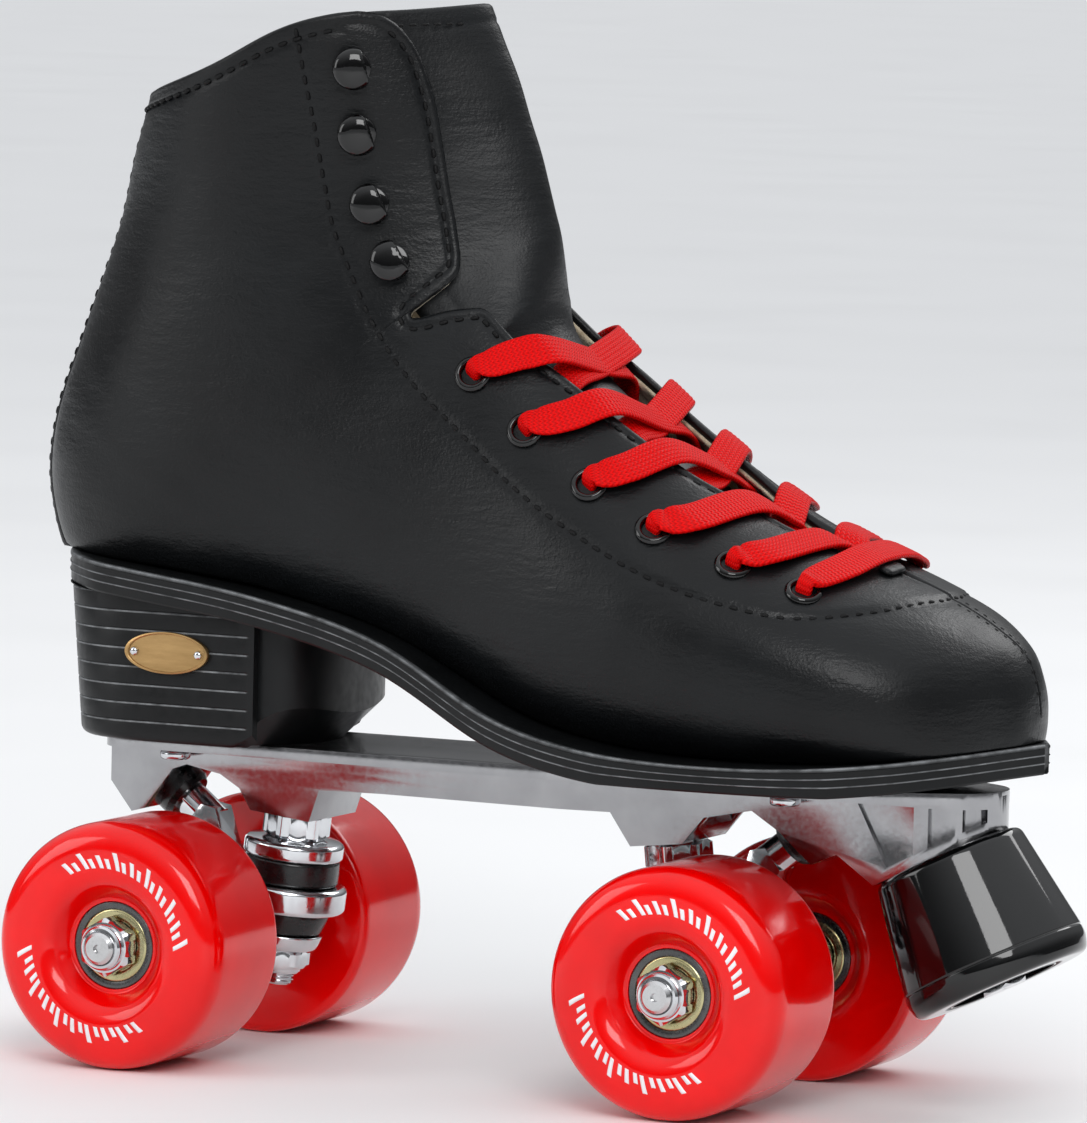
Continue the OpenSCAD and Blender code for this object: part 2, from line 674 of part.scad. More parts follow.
// ---- Trucks ----
module kingpin(end) {
  color("#cfd2d6") on_kingpin(end) {
    translate([0, 0, -low_washer_z]) cylinder(d = kingpin_d, h = low_washer_z + 13);
    translate([0, 0, -thread_end]) cylinder(d = 8, h = thread_end);
  }
}
module jam_nut(end) {
  color("#cfd2d6") on_kingpin(end) translate([0, 0, -jam_h - gap]) hex_nut(15, kingpin_d / 2, jam_h);
}
module upper_washer(end) {
  color("#cfd2d6") on_kingpin(end) translate([0, 0, -washer_z - washer_h])
    rounded_ring(12.7, kingpin_d / 2, washer_h, 0.8);
}
module upper_cushion(end) {
  color("#0f0f11") on_kingpin(end) translate([0, 0, -ring_z + gap])
    rounded_ring(12, kingpin_d / 2 + 0.1, ring_z - upper_z - gap, 0.8);
}
module lower_cushion(end) {
  h = low_washer_z - lower_z - gap;
  r = kingpin_d / 2 + 0.1;
  color("#0f0f11") on_kingpin(end) translate([0, 0, -lower_z - h]) rotate_extrude()
    polygon([[r, 0], [9, 0], [9.4, 0.6], [11, h - 1], [10.6, h], [r, h]]);
}
module lower_washer(end) {
  color("#cfd2d6") on_kingpin(end) translate([0, 0, -low_washer_z - low_washer_h])
    rounded_ring(10, 4, low_washer_h, 0.8);
}
module kingpin_nut(end) {
  color("#cfd2d6") on_kingpin(end) translate([0, 0, -nut_z - 6.2]) hex_nut(13, 4, 6.2);
}
module pivot_cup(end) {
  color("#0f0f11") on_pivot(end) difference() {
    union() {
      translate([0, 0, -4]) cylinder(r = cup_r, h = 10.9);
      translate([0, 0, -5.5]) cylinder(r1 = cup_r - 1, r2 = cup_r, h = 1.5);
    }
    sphere(r = pin_r + 0.08);
    translate([0, 0, -7]) cylinder(r = pin_r + 0.08, h = 7);
  }
}
// Hanger: ring round the kingpin, pivot pin, and a cross tube round the axle
module hanger(end) {
  tube_hw = track / 2 - bearing_out - gap;
  color("#cfd2d6") difference() {
    union() {
      on_kingpin(end) translate([0, 0, -ring_z - ring_h]) rounded_ring(ring_d / 2, 0, ring_h, 1.5);
      on_pivot(end) {
        sphere(r = pin_r);
        translate([0, 0, -15]) cylinder(r = pin_r, h = 15);
      }
      // Web from the ring to the cross tube, and the arm up to the pivot pin
      mirror([end < 0 ? 1 : 0, 0, 0]) {
        along_y(6.5) polygon([
          [ring_x + 10.8, ring_cz - 0.9], [ring_x + 10.8, ring_cz + 2.2], [ring_x + 13, ring_cz + 6.4],
          [axle_x - 5.5, 51], [axle_x + 3, 51], [axle_x + 7, 33], [axle_x, 24], [axle_x - 6, 27],
          [ring_x + 12.6, ring_cz - 3.8]]);
        along_y(4.5) polygon([
          [axle_x - 5.5, 49], [axle_x - 1.8, 60.7], [axle_x + 2.2, 61.5], [axle_x + 6.4, 56.2], [axle_x + 3, 49]]);
      }
      translate([end * axle_x, 0, axle_z]) rotate([90, 0, 0]) {
        cylinder(r = 8, h = 38, center = true);
        cylinder(r = 5.8, h = 2 * tube_hw, center = true);
        for (s = [-1, 1]) mirror([0, 0, s < 0 ? 1 : 0])
          translate([0, 0, 19]) cylinder(r1 = 8, r2 = 5.8, h = 4);
      }
    }
    translate([end * axle_x, 0, axle_z]) rotate([90, 0, 0]) cylinder(d = axle_d, h = 90, center = true);
    on_kingpin(end) translate([0, 0, -ring_z - ring_h - 2]) cylinder(r = 7.2, h = ring_h + 4);
  }
}
module axle(end) {
  color("#b9bdc2") translate([end * axle_x, 0, axle_z]) rotate([90, 0, 0])
    cylinder(d = axle_d, h = axle_len, center = true);
}
// Places its children on a wheel's axle with +Z pointing outwards
module on_wheel(end, side) {
  translate([end * axle_x, side * track / 2, axle_z]) rotate([side < 0 ? 90 : -90, 0, 0]) children();
}
module axle_nuts(end) {
  color("#b9bdc2") for (side = [-1, 1]) on_wheel(end, side)
    translate([0, 0, bearing_out]) hex_nut(13, axle_d / 2, nut_h);
}
module spacers(end) {
  color("#a9adb2") for (side = [-1, 1]) on_wheel(end, side)
    translate([0, 0, -bearing_in]) ring(5.4, axle_d / 2, spacer_len);
}
module race(outer_r, inner_r) {
  rotate_extrude() difference() {
    translate([inner_r, -bearing_w / 2]) square([outer_r - inner_r, bearing_w]);
    translate([ball_pitch_r, 0]) circle(r = race_r);
  }
}
module each_bearing() {
  for (s = [-1, 1]) translate([0, 0, s * (bearing_in + bearing_w / 2)]) children();
}
module inner_races(end) {
  color("#c7b98a") for (side = [-1, 1]) on_wheel(end, side) each_bearing() race(5.9, axle_d / 2);
}

// ---- Wheels ----
module tyre(end, side) {
  half = wheel_w / 2;
  r = wheel_d / 2;
  outer_round = 8;
  inner_round = 2.5;
  seat = bearing_d / 2;
  color("#e01212") on_wheel(end, side) rotate_extrude($fn = 128) {
    polygon([
      [9.6, -bearing_in], [seat, -bearing_in], [seat, -bearing_out], [seat + 1.2, -bearing_out],
      [recess_d / 2 - 2, -half], [r - inner_round, -half], [r - inner_round, inner_round - half],
      [r, inner_round - half], [r, half - outer_round], [r - outer_round, half - outer_round],
      [r - outer_round, half], [recess_d / 2, half], [seat + 1, bearing_out], [seat, bearing_out],
      [seat, bearing_in], [9.6, bearing_in]]);
    translate([r - outer_round, half - outer_round]) intersection() {
      circle(r = outer_round);
      square(outer_round + 1);
    }
    translate([r - inner_round, inner_round - half]) circle(r = inner_round);
  }
}
// Outer races with their dust shields
module outer_races(end, side) {
  color("#c7b98a") on_wheel(end, side) each_bearing() {
    race(bearing_d / 2, 9.1);
    for (s = [-1, 1]) translate([0, 0, s * 3 - 0.2]) ring(9.1, 6.3, 0.4);
  }
}
module balls(end, side) {
  color("#dcdfe2") on_wheel(end, side) each_bearing() for (i = [0 : 6])
    rotate([0, 0, i * 360 / 7]) translate([ball_pitch_r, 0, 0]) sphere(d = ball_d, $fn = 32);
}

place() upper_right();
place() upper_left();
place() backstay();
place() tongue();
place() lining();
place() footbed();
place() outsole();
place() heel_block();
place() heel_wrap();
place() heel_badge();
place() eyelets();
place() lace_hooks();
place() lace();
place() throat_tab();
place() plate();
place() mounting_screws();
place() toe_stop();
place() toe_stop_bolt();
place() toe_stop_washer();
for (end = [1, -1]) {
  name = end > 0 ? "front" : "rear";
  place() kingpin(end);
  place() jam_nut(end);
  place() upper_washer(end);
  place() upper_cushion(end);
  place() lower_cushion(end);
  place() lower_washer(end);
  place() kingpin_nut(end);
  place() pivot_cup(end);
  place() hanger(end);
  place() axle(end);
  place() axle_nuts(end);
  place() spacers(end);
  place() inner_races(end);
  for (side = [1, -1]) {
    wheel = str(name, side > 0 ? "_left" : "_right");
    place() tyre(end, side);
    place() outer_races(end, side);
    place() balls(end, side);
  }
}
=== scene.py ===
"""Looks of the quad roller skate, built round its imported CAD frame.

Shapes are worked out in millimetres in the boot's own frame, where x = 0 is midway between the
axles, and become metres in the row's frame when a mesh is made.
"""
import json
import math

import bmesh
import bpy
import numpy as np
from mathutils import Matrix, Vector
from mathutils.kdtree import KDTree

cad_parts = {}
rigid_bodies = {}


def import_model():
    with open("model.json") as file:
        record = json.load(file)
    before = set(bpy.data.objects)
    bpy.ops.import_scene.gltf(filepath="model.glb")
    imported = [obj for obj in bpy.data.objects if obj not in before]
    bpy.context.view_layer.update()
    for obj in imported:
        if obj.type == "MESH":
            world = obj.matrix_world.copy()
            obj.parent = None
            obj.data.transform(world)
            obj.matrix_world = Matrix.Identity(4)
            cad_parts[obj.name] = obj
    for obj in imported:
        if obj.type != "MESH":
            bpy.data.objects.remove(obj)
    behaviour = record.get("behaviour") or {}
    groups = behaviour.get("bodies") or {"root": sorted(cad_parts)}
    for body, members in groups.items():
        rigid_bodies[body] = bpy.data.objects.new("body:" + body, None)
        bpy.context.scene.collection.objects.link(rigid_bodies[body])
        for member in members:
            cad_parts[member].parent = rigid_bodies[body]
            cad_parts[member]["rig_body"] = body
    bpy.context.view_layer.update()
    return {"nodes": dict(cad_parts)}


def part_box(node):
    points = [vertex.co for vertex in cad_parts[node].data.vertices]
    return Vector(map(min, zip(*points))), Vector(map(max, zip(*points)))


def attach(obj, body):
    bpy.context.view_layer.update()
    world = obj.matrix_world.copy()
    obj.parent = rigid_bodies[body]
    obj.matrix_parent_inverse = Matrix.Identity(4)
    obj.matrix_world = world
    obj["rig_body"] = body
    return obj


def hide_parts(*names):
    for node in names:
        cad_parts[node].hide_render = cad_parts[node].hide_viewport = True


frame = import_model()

FRONT = (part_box("front_axle")[0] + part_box("front_axle")[1]) * 500
REAR = (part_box("rear_axle")[0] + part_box("rear_axle")[1]) * 500
MID_X = -(FRONT.x + REAR.x) / 2
AXLE_X = (FRONT.x - REAR.x) / 2
AXLE_Z = FRONT.z
ENDS = (("front", 1), ("rear", -1))
SIDES = (("left", 1), ("right", -1))

# ---- Driving dimensions in millimetres, as in the part's own source ----
WHEEL_R = 31
WHEEL_W = 36
TRACK = 84
AXLE_R = 4
BEARING_R = 11
BEARING_W = 7
BEARING_IN = 5
BEARING_OUT = BEARING_IN + BEARING_W
KINGPIN_TILT = 6.5
KINGPIN_R = 4.75
BOSS = (52.7, 61.3)
PLATE_TOP = 79.5
STOP = (125, 62.7)
STOP_TILT = 27
UPPER_T = 2.2
LINING_T = 1.2
STACK_T = UPPER_T + 0.4 + LINING_T
SOLE_T = 7.5
GAP = 0.1
LACE_W = 9
LACE_T = 1.5
LACE_STEP = 0.55
WALES = 7
WALE_RELIEF = 0.16

# Stations from the toe tip to the collar: front x, front z, back x, back z, half width
BOOT_ROWS = np.array([
    [147.6, 98.6, 147.6, 98.4, 0.25], [146.3, 106, 146.3, 91, 7.7], [143, 113, 143, 84, 14.5],
    [137, 118, 137, 80, 26.5], [127, 123.8, 128, 79, 38], [113, 129.6, 114, 79, 45],
    [96, 136.2, 96, 79, 48.5], [78, 145, 76, 79, 49], [60, 157.5, 52, 80, 47],
    [45, 170, 26, 84, 43.5], [33, 182, 0, 95, 39.5], [24, 192, -26, 105, 37],
    [19.5, 199, -55, 110, 36], [16.5, 206, -88, 112, 35.5], [14, 213, -112, 118, 35.5],
    [11.5, 221, -121.8, 138, 35.5], [9, 229, -121.6, 158, 35.5], [6, 237, -113.5, 182, 35.5],
    [2.5, 247, -104.5, 206, 37], [-2, 257, -99.8, 226, 39], [-6, 266, -95.5, 240, 40.5]])
LAST = len(BOOT_ROWS) - 1
SOLE_LINE = [(-118, 126), (-80, 122.5), (-47, 118), (-13, 109.5), (20, 94), (45, 88), (75, 86),
             (110, 87), (150, 91.5)]
SOLE_HALF = [(-115, 2), (-112.5, 12), (-105.5, 23.5), (-92, 33), (-60, 36), (-28, 37.5), (0, 41),
             (30, 47), (60, 51), (85, 51.5), (105, 49), (125, 40.5), (131, 35), (138, 25.5), (142, 17.5),
             (146, 9), (149.5, 1.5)]
THROAT = [(0, 0), (5.2, 0), (5.8, 6), (7.1, 12), (9, 26), (11.5, 39), (14, 39), (18.7, 39), (20, 44)]
EYELETS = [(5.85, 43), (6.81, 46), (7.86, 52), (8.88, 54), (10.09, 57), (11.44, 56)]
HOOKS = [(14.88, 54), (16.33, 57), (17.68, 60), (18.77, 59)]
EYELET_HOLE = 2.7

# Edge of the upper as (station, angle): toe seam, throat, eyelet facing, notch and hook flap
FACING_EDGE = [(0, 0.4), (4.9, 0.4), (5.3, 1.4), (6.15, 8), (7.09, 11), (7.8, 19), (9.05, 26), (10.21, 33),
               (11.11, 38.2), (12.3, 38.8), (12.6, 39.8), (12.8, 42.8), (13.14, 48.1), (13.36, 53.2),
               (13.52, 55), (13.66, 53.8), (13.7, 47), (13.74, 42.8), (13.85, 39.8), (14.2, 38),
               (15.08, 37), (16.62, 37), (17.88, 37.2), (18.74, 37.7), (19.15, 39.2), (19.55, 42.2),
               (19.83, 46.7), (19.97, 53), (20, 60)]
# Seam that holds the facing's reinforcement, from the collar down and round the throat
PANEL_SEAM = [(19.93, 74), (19.4, 73.5), (18.11, 72), (16.78, 68), (15.3, 63.5), (13.92, 62), (12.8, 65),
              (11.72, 69.5), (10.07, 73), (8.89, 70.5), (7.84, 69), (6.81, 64), (5.75, 56), (4.83, 36),
              (4.35, 12), (4.28, 0.5)]
EDGE_SEAM = 3.0
COLLAR_SEAM = 4.5
SEAM_GROOVE = 0.5
TONGUE_SINK = [(5.6, 7), (10.5, 9), (11.5, 7), (12.5, 1.2), (13.8, -1.6), (20, -1.6)]

# Heel: its plan is round behind HEEL_ROUND_X, and its back leans
SOLE_BACK, SOLE_TIP = -115, 149.5
HEEL_BACK, HEEL_LEAN, HEEL_HW, HEEL_ROUND_X = -108.6, math.radians(5), 31, -84
NOSE_START, NOSE_LEN, WRAP_FRONT, WRAP_T = -50, 14, -50.3, 2.5
CORNER_X = -75


# ---- Curves and the boot's skin ----
def smooth(t):
    u = np.clip(t, 0, 1)
    return u * u * (3 - 2 * u)


def hermite(a, b, f, slope_a, slope_b):
    """Cubic from a to b with the slopes at its ends, at the share f of the way."""
    return (a * (2 * f ** 3 - 3 * f * f + 1) + slope_a * (f ** 3 - 2 * f * f + f)
            + b * (3 * f * f - 2 * f ** 3) + slope_b * (f ** 3 - f * f))


def neighbours(count):
    n = np.arange(count)
    return np.minimum(n + 1, count - 1), np.maximum(n - 1, 0)


def curve(table, x):
    """Smooth value at x of (x, value) points."""
    c = np.array(table, float)
    n = len(c)
    x = np.asarray(x, float)
    i = np.clip(np.searchsorted(c[:, 0], x, side="right") - 1, 0, n - 2)
    h = c[i + 1, 0] - c[i, 0]
    f = np.clip((x - c[i, 0]) / h, 0, 1)
    ahead, behind = neighbours(n)
    slope = (c[ahead, 1] - c[behind, 1]) / (c[ahead, 0] - c[behind, 0])
    return hermite(c[i, 1], c[i + 1, 1], f, slope[i] * h, slope[i + 1] * h)


def row_at(k):
    ahead, behind = neighbours(LAST + 1)
    slope = (BOOT_ROWS[ahead] - BOOT_ROWS[behind]) / (ahead - behind)[:, None]
    i = np.clip(np.floor(k).astype(int), 0, LAST - 1)
    return hermite(BOOT_ROWS[i], BOOT_ROWS[i + 1], (k - i)[..., None], slope[i], slope[i + 1])


def toe_swing(x):
    """How far the toe swings to the inside of the foot."""
    return 2.5 * smooth((np.asarray(x, float) - 20) / 120)


def sole_top(x):
    return curve(SOLE_LINE, x)


def sole_low(x):
    return np.maximum(sole_top(x) - SOLE_T, PLATE_TOP + GAP)


def skin(k, angle, depth=0.0):
    """Points of the boot's skin at stations k and angles in degrees, depth millimetres inside it."""
    k, angle, depth = np.broadcast_arrays(np.asarray(k, float), np.asarray(angle, float), depth)
    a = np.radians(angle)
    v = row_at(k)
    front, back = v[..., 0:2], v[..., 2:4]
    length = np.maximum(np.linalg.norm(front - back, axis=-1), 0.01)
    inset = np.minimum(depth, 0.4 * length)
    w = np.maximum(v[..., 4] - depth, 0.1)
    d = (front - back) / length[..., None] * inset[..., None]
    c, s = np.cos(a), np.abs(np.sin(a))
    boxy = 1 / (1.35 - 0.35 * smooth((k - 9) / 5))
    cc = np.where(c < 0, -np.power(np.abs(c), boxy), c)
    power = np.where(c < 0, 0.8 - 0.45 * smooth((k - 13) / 4) * c, 0.95 + 0.25 * c * smooth((k - 11) / 4))
    m = (front + back) / 2 + ((front - d) - (back + d)) / 2 * cc[..., None]
    x = m[..., 0] - depth * (1 - smooth(k / 4))
    crown = np.where(np.sin(a) < 0, -2.5, 5) * (0.45 + 2.2 * c / np.sqrt(1 + 6.8 * c * c))
    bump = crown * smooth((k - 16) / 4) * s * s
    y = -np.sign(np.sin(a)) * w * np.power(s, power) + toe_swing(x)
    z = np.maximum(m[..., 1] + bump, sole_top(x) + 0.5 + depth)
    return np.stack([x, y, z], axis=-1)


def unit(v):
    return v / np.maximum(np.linalg.norm(v, axis=-1, keepdims=True), 1e-9)


def skin_normal(k, angle):
    k, angle = np.asarray(k, float), np.asarray(angle, float)
    along = skin(k + 0.1, angle) - skin(k - 0.1, angle)
    return unit(np.cross(along, skin(k, angle + 2) - skin(k, angle - 2)))


def on_skin(k, angle):
    """Matrix of a place on the skin with +Z outwards and +X towards the front edge."""
    n = Vector(skin_normal(k, angle))
    side = 1 if angle > 0 else -1
    ahead = Vector(skin(k, angle - side)) - Vector(skin(k, angle + side))
    x = (ahead - n * ahead.dot(n)).normalized()
    m = Matrix((x, n.cross(x), n)).transposed().to_4x4()
    m.translation = Vector(skin(k, angle))
    return m


def rounded(points, radius, steps=4, closed=True):
    """Polyline with its corners replaced by curves that start radius away from them."""
    pts = [np.array(p, float) for p in points]
    radii = radius if hasattr(radius, "__len__") else [radius] * len(pts)
    out = []
    for i, p in enumerate(pts):
        if (not closed and i in (0, len(pts) - 1)) or radii[i] <= 0:
            out.append(p)
            continue
        to_prev, to_next = pts[i - 1] - p, pts[(i + 1) % len(pts)] - p
        reach = min(radii[i], 0.49 * np.linalg.norm(to_prev), 0.49 * np.linalg.norm(to_next))
        a, b = p + unit(to_prev) * reach, p + unit(to_next) * reach
        out += [(1 - s) ** 2 * a + 2 * s * (1 - s) * p + s * s * b for s in np.linspace(0, 1, steps + 1)]
    return np.array(out)


def spline(knots, per_span=12):
    """Catmull-Rom curve through the knots."""
    q = np.array(knots, float)
    q = np.vstack([q[:1], q, q[-1:]])
    out = []
    for i in range(1, len(q) - 2):
        f = np.linspace(0, 1, per_span, endpoint=False)[:, None]
        p0, p1, p2, p3 = q[i - 1:i + 3]
        out.append(0.5 * (2 * p1 + (p2 - p0) * f + (2 * p0 - 5 * p1 + 4 * p2 - p3) * f ** 2
                          + (3 * p1 - p0 - 3 * p2 + p3) * f ** 3))
    return np.vstack(out + [q[-2:-1]])


def evenly(points, step, extra=None):
    """Points at even steps along a polyline, with the same for any values that go with them."""
    p = np.asarray(points, float)
    run = np.concatenate([[0], np.cumsum(np.linalg.norm(np.diff(p, axis=0), axis=1))])
    at = np.linspace(0, run[-1], max(int(round(run[-1] / step)), 1) + 1)
    data = p if extra is None else np.hstack([p, extra])
    return np.stack([np.interp(at, run, data[:, j]) for j in range(data.shape[1])], axis=1)


# ---- Meshes ----
def add_mesh(name, part, material, replaces=(), body="skate", sharp=None, attributes=None):
    """Mesh piece from (points, faces) in millimetres in the axle frame, riding on a body.

    Its one slot holds its material; the frame's own materials make Blender number ours.
    """
    points, faces = part
    mesh = bpy.data.meshes.new(name)
    mesh.from_pydata(((np.asarray(points) - [MID_X, 0, 0]) / 1000).tolist(), [], faces)
    for key, values in (attributes or {}).items():
        mesh.attributes.new(key, "FLOAT", "POINT").data.foreach_set("value", np.asarray(values, np.float32))
    bm = bmesh.new()
    bm.from_mesh(mesh)
    bmesh.ops.remove_doubles(bm, verts=bm.verts, dist=2e-6)
    bmesh.ops.recalc_face_normals(bm, faces=bm.faces)
    bm.to_mesh(mesh)
    bm.free()
    mesh.shade_smooth()
    if sharp:
        mesh.set_sharp_from_angle(angle=math.radians(sharp))
    obj = bpy.data.objects.new(name, mesh)
    bpy.context.scene.collection.objects.link(obj)
    mesh.materials.append(material)
    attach(obj, body)
    if replaces:
        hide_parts(*replaces)
    return obj


def grid_faces(rows, cols, start=0, wrap_rows=False, wrap_cols=False):
    i = np.arange(rows if wrap_rows else rows - 1)[:, None]
    j = np.arange(cols if wrap_cols else cols - 1)[None, :]
    i2, j2 = (i + 1) % rows, (j + 1) % cols
    quads = np.stack([i * cols + j, i2 * cols + j, i2 * cols + j2, i * cols + j2], axis=-1)
    return (quads.reshape(-1, 4) + start).tolist()


def tube_faces(rows, cols):
    """Faces of a closed tube of loops with flat ends."""
    ends = [list(range(cols))[::-1], list(range((rows - 1) * cols, rows * cols))]
    return grid_faces(rows, cols, wrap_cols=True) + ends


def shell(outer, inner):
    """Closed sheet between two grids of points."""
    rows, cols = outer.shape[:2]
    n = rows * cols
    faces = grid_faces(rows, cols) + [q[::-1] for q in grid_faces(rows, cols, n)]
    rim = ([(j, j + 1) for j in range(cols - 1)]
           + [(i * cols + cols - 1, (i + 1) * cols + cols - 1) for i in range(rows - 1)]
           + [(n - 1 - j, n - 2 - j) for j in range(cols - 1)]
           + [((rows - 1 - i) * cols, (rows - 2 - i) * cols) for i in range(rows - 1)])
    faces += [[a, b, n + b, n + a] for a, b in rim]
    return np.vstack([outer.reshape(-1, 3), inner.reshape(-1, 3)]), faces


def joined(parts):
    """One list of points and faces from several."""
    points, faces, n = [], [], 0
    for p, f in parts:
        points.append(np.asarray(p, float).reshape(-1, 3))
        faces += [[i + n for i in face] for face in f]
        n += len(points[-1])
    return np.vstack(points), faces


def placed(part, matrix):
    m = np.array(matrix)
    return part[0] @ m[:3, :3].T + m[:3, 3], part[1]


def lathe(profile, segments=96, shape=None):
    """Solid of revolution about Z from a closed profile of (radius, height); shape may trim the radius."""
    prof = np.asarray(profile, float)
    turn = np.arange(segments) * 2 * math.pi / segments
    radius = np.repeat(prof[:, 0][:, None], segments, axis=1)
    if shape is not None:
        radius = np.minimum(radius, shape(np.degrees(turn))[None, :])
    points = np.stack([radius * np.cos(turn), radius * np.sin(turn),
                       np.repeat(prof[:, 1][:, None], segments, axis=1)], axis=-1)
    faces = grid_faces(len(prof), segments, wrap_rows=True, wrap_cols=True)
    on_axis = prof[:, 0] < 1e-6
    keep = [not (on_axis[q[0] // segments] and on_axis[q[1] // segments]) for q in faces]
    return points.reshape(-1, 3), [q for q, good in zip(faces, keep) if good]


def hexagon(across):
    """Radius of a hexagon at each angle, with its corners slightly eased."""
    def radius(angle):
        flat = across / 2 / np.cos(np.radians((angle + 30) % 60 - 30))
        return np.minimum(flat, across / 2 / math.cos(math.radians(30)) * 0.985)
    return radius


def hex_nut(across, hole_r, height, collar=0.0):
    """Chamfered nut; collar is the height of a round locking collar on top."""
    r = across / 2 / math.cos(math.radians(30))
    bevel = (r - across / 2) * 0.75
    flats = height - collar
    profile = [(hole_r, 0.3), (hole_r + 0.3, 0), (across / 2 - 0.2, 0), (r, bevel), (r, flats - bevel),
               (across / 2 - 0.2, flats)]
    if collar:
        neck = across / 2 - 0.9
        profile += [(neck + 0.25, flats + 0.05), (neck, flats + 0.4), (neck - 0.1, height - 0.7),
                    (neck - 0.6, height - 0.1), (neck - 1.2, height), (hole_r + 0.4, height - 0.1)]
    profile += [(hole_r, height - 0.4)]
    return lathe(profile, 120, hexagon(across))


# ---- Materials ----
def material(name, color, roughness, metallic=0.0, **sockets):
    mat = bpy.data.materials.new(name)
    mat.use_nodes = True
    sockets.update(Base_Color=(*color, 1), Roughness=roughness, Metallic=metallic)
    for key, value in sockets.items():
        principled(mat).inputs[key.replace("_", " ")].default_value = value
    return mat


def node(mat, kind, **values):
    """Shader node with its inputs or properties set by name."""
    n = mat.node_tree.nodes.new(kind)
    for key, value in values.items():
        if key in n.inputs:
            n.inputs[key].default_value = value
        else:
            setattr(n, key, value)
    return n


def output(n, name=None):
    """A node's named output, or else its Fac, or else its first."""
    return n.outputs[name or ("Fac" if "Fac" in n.outputs else 0)]


def link(mat, source, target, into, out=None):
    mat.node_tree.links.new(output(source, out), target.inputs[into])


def principled(mat):
    return mat.node_tree.nodes["Principled BSDF"]


def calc(mat, operation, a, b):
    """Math node on two values, each a node or a number."""
    n = node(mat, "ShaderNodeMath", operation=operation)
    for i, value in enumerate((a, b)):
        if isinstance(value, bpy.types.Node):
            link(mat, value, n, i)
        else:
            n.inputs[i].default_value = value
    return n


def coords(mat, scale=(1, 1, 1)):
    """Object coordinates in metres, stretched by scale."""
    tex = node(mat, "ShaderNodeTexCoord")
    mapping = node(mat, "ShaderNodeMapping", Scale=scale)
    link(mat, tex, mapping, "Vector", "Object")
    return mapping


def noise(mat, source, scale, detail=2.0, roughness=0.5):
    n = node(mat, "ShaderNodeTexNoise", Scale=scale, Detail=detail, Roughness=roughness)
    link(mat, source, n, "Vector")
    return n


def spread(mat, source, low, high):
    """Stretches the middle of a noise's range over low to high."""
    n = node(mat, "ShaderNodeMapRange")
    for key, value in (("From Min", 0.3), ("From Max", 0.7), ("To Min", low), ("To Max", high)):
        n.inputs[key].default_value = value
    link(mat, source, n, "Value")
    return n


def ramp(mat, source, dark, light):
    """Base colour between dark and light."""
    n = node(mat, "ShaderNodeValToRGB")
    n.color_ramp.elements[0].color = (*dark, 1)
    n.color_ramp.elements[1].color = (*light, 1)
    link(mat, source, n, "Fac")
    link(mat, n, principled(mat), "Base Color")
    return n


def tint(mat, source, dark, light):
    """Base colour that follows a noise, with soft ends."""
    n = ramp(mat, source, dark, light)
    n.color_ramp.elements[0].position = 0.3
    n.color_ramp.elements[1].position = 0.7


def bump(mat, layers):
    """Bump from (source, depth in millimetres, strength) layers, one on another."""
    last = None
    for source, depth, strength in layers:
        b = node(mat, "ShaderNodeBump", Strength=strength, Distance=depth / 1000)
        link(mat, source, b, "Height")
        if last is not None:
            link(mat, last, b, "Normal")
        last = b
    link(mat, last, principled(mat), "Normal")


def rough(mat, source, low, high):
    link(mat, spread(mat, source, low, high), principled(mat), "Roughness")


def leather(name, dark, light, low, high, specular):
    """Satin synthetic leather: fine pebble grain, faint creases and uneven sheen."""
    mat = material(name, light, 0.4, Specular_IOR_Level=specular)
    base = coords(mat)
    tint(mat, noise(mat, base, 28, 3), dark, light)
    rough(mat, noise(mat, base, 60, 4), low, high)
    pebble = node(mat, "ShaderNodeTexVoronoi", Scale=1500.0, Randomness=1.0)
    link(mat, base, pebble, "Vector")
    crease = noise(mat, coords(mat, (0.5, 0.5, 1.9)), 190, 5, 0.62)
    fine = noise(mat, base, 900, 3, 0.6)
    bump(mat, [(crease, 0.5, 0.5), (fine, 0.15, 0.5), (pebble, 0.1, 0.3)])
    return mat


def fleece(name, dark, light):
    """Brushed fleece: soft clumps of short fibre."""
    mat = material(name, light, 0.95, Sheen_Weight=0.35)
    base = coords(mat)
    clump = noise(mat, base, 330, 4, 0.7)
    tint(mat, clump, dark, light)
    bump(mat, [(clump, 0.9, 0.7), (noise(mat, base, 2200, 2), 0.3, 0.5)])
    return mat


def braid(name, dark, light, wales, pitch):
    """Flat braided lace: wales of small chevrons, from the strand's own along and across attributes, with
    painted shade darkening the valleys.
    """
    mat = material(name, light, 0.5, Specular_IOR_Level=0.12)
    along = node(mat, "ShaderNodeAttribute", attribute_name="along")
    across = node(mat, "ShaderNodeAttribute", attribute_name="across")
    local = calc(mat, "PINGPONG", calc(mat, "MULTIPLY", across, wales), 0.5)
    phase = calc(mat, "ADD", calc(mat, "MULTIPLY", along, 1 / pitch), local)
    chevron = calc(mat, "SINE", calc(mat, "MULTIPLY", phase, 2 * math.pi), 0)
    rib = calc(mat, "SINE", calc(mat, "MULTIPLY", local, 2 * math.pi), 0)
    relief = calc(mat, "ADD", calc(mat, "MULTIPLY", chevron, 0.25), calc(mat, "MULTIPLY", rib, 0.2))
    height = calc(mat, "ADD", relief, 0.5)
    # Base colour follows the relief: painted shade in the valleys between chevrons and wales
    ramp(mat, height, dark, light)
    bump(mat, [(height, 0.35, 0.8), (noise(mat, coords(mat), 3500, 2), 0.08, 0.3)])
    return mat


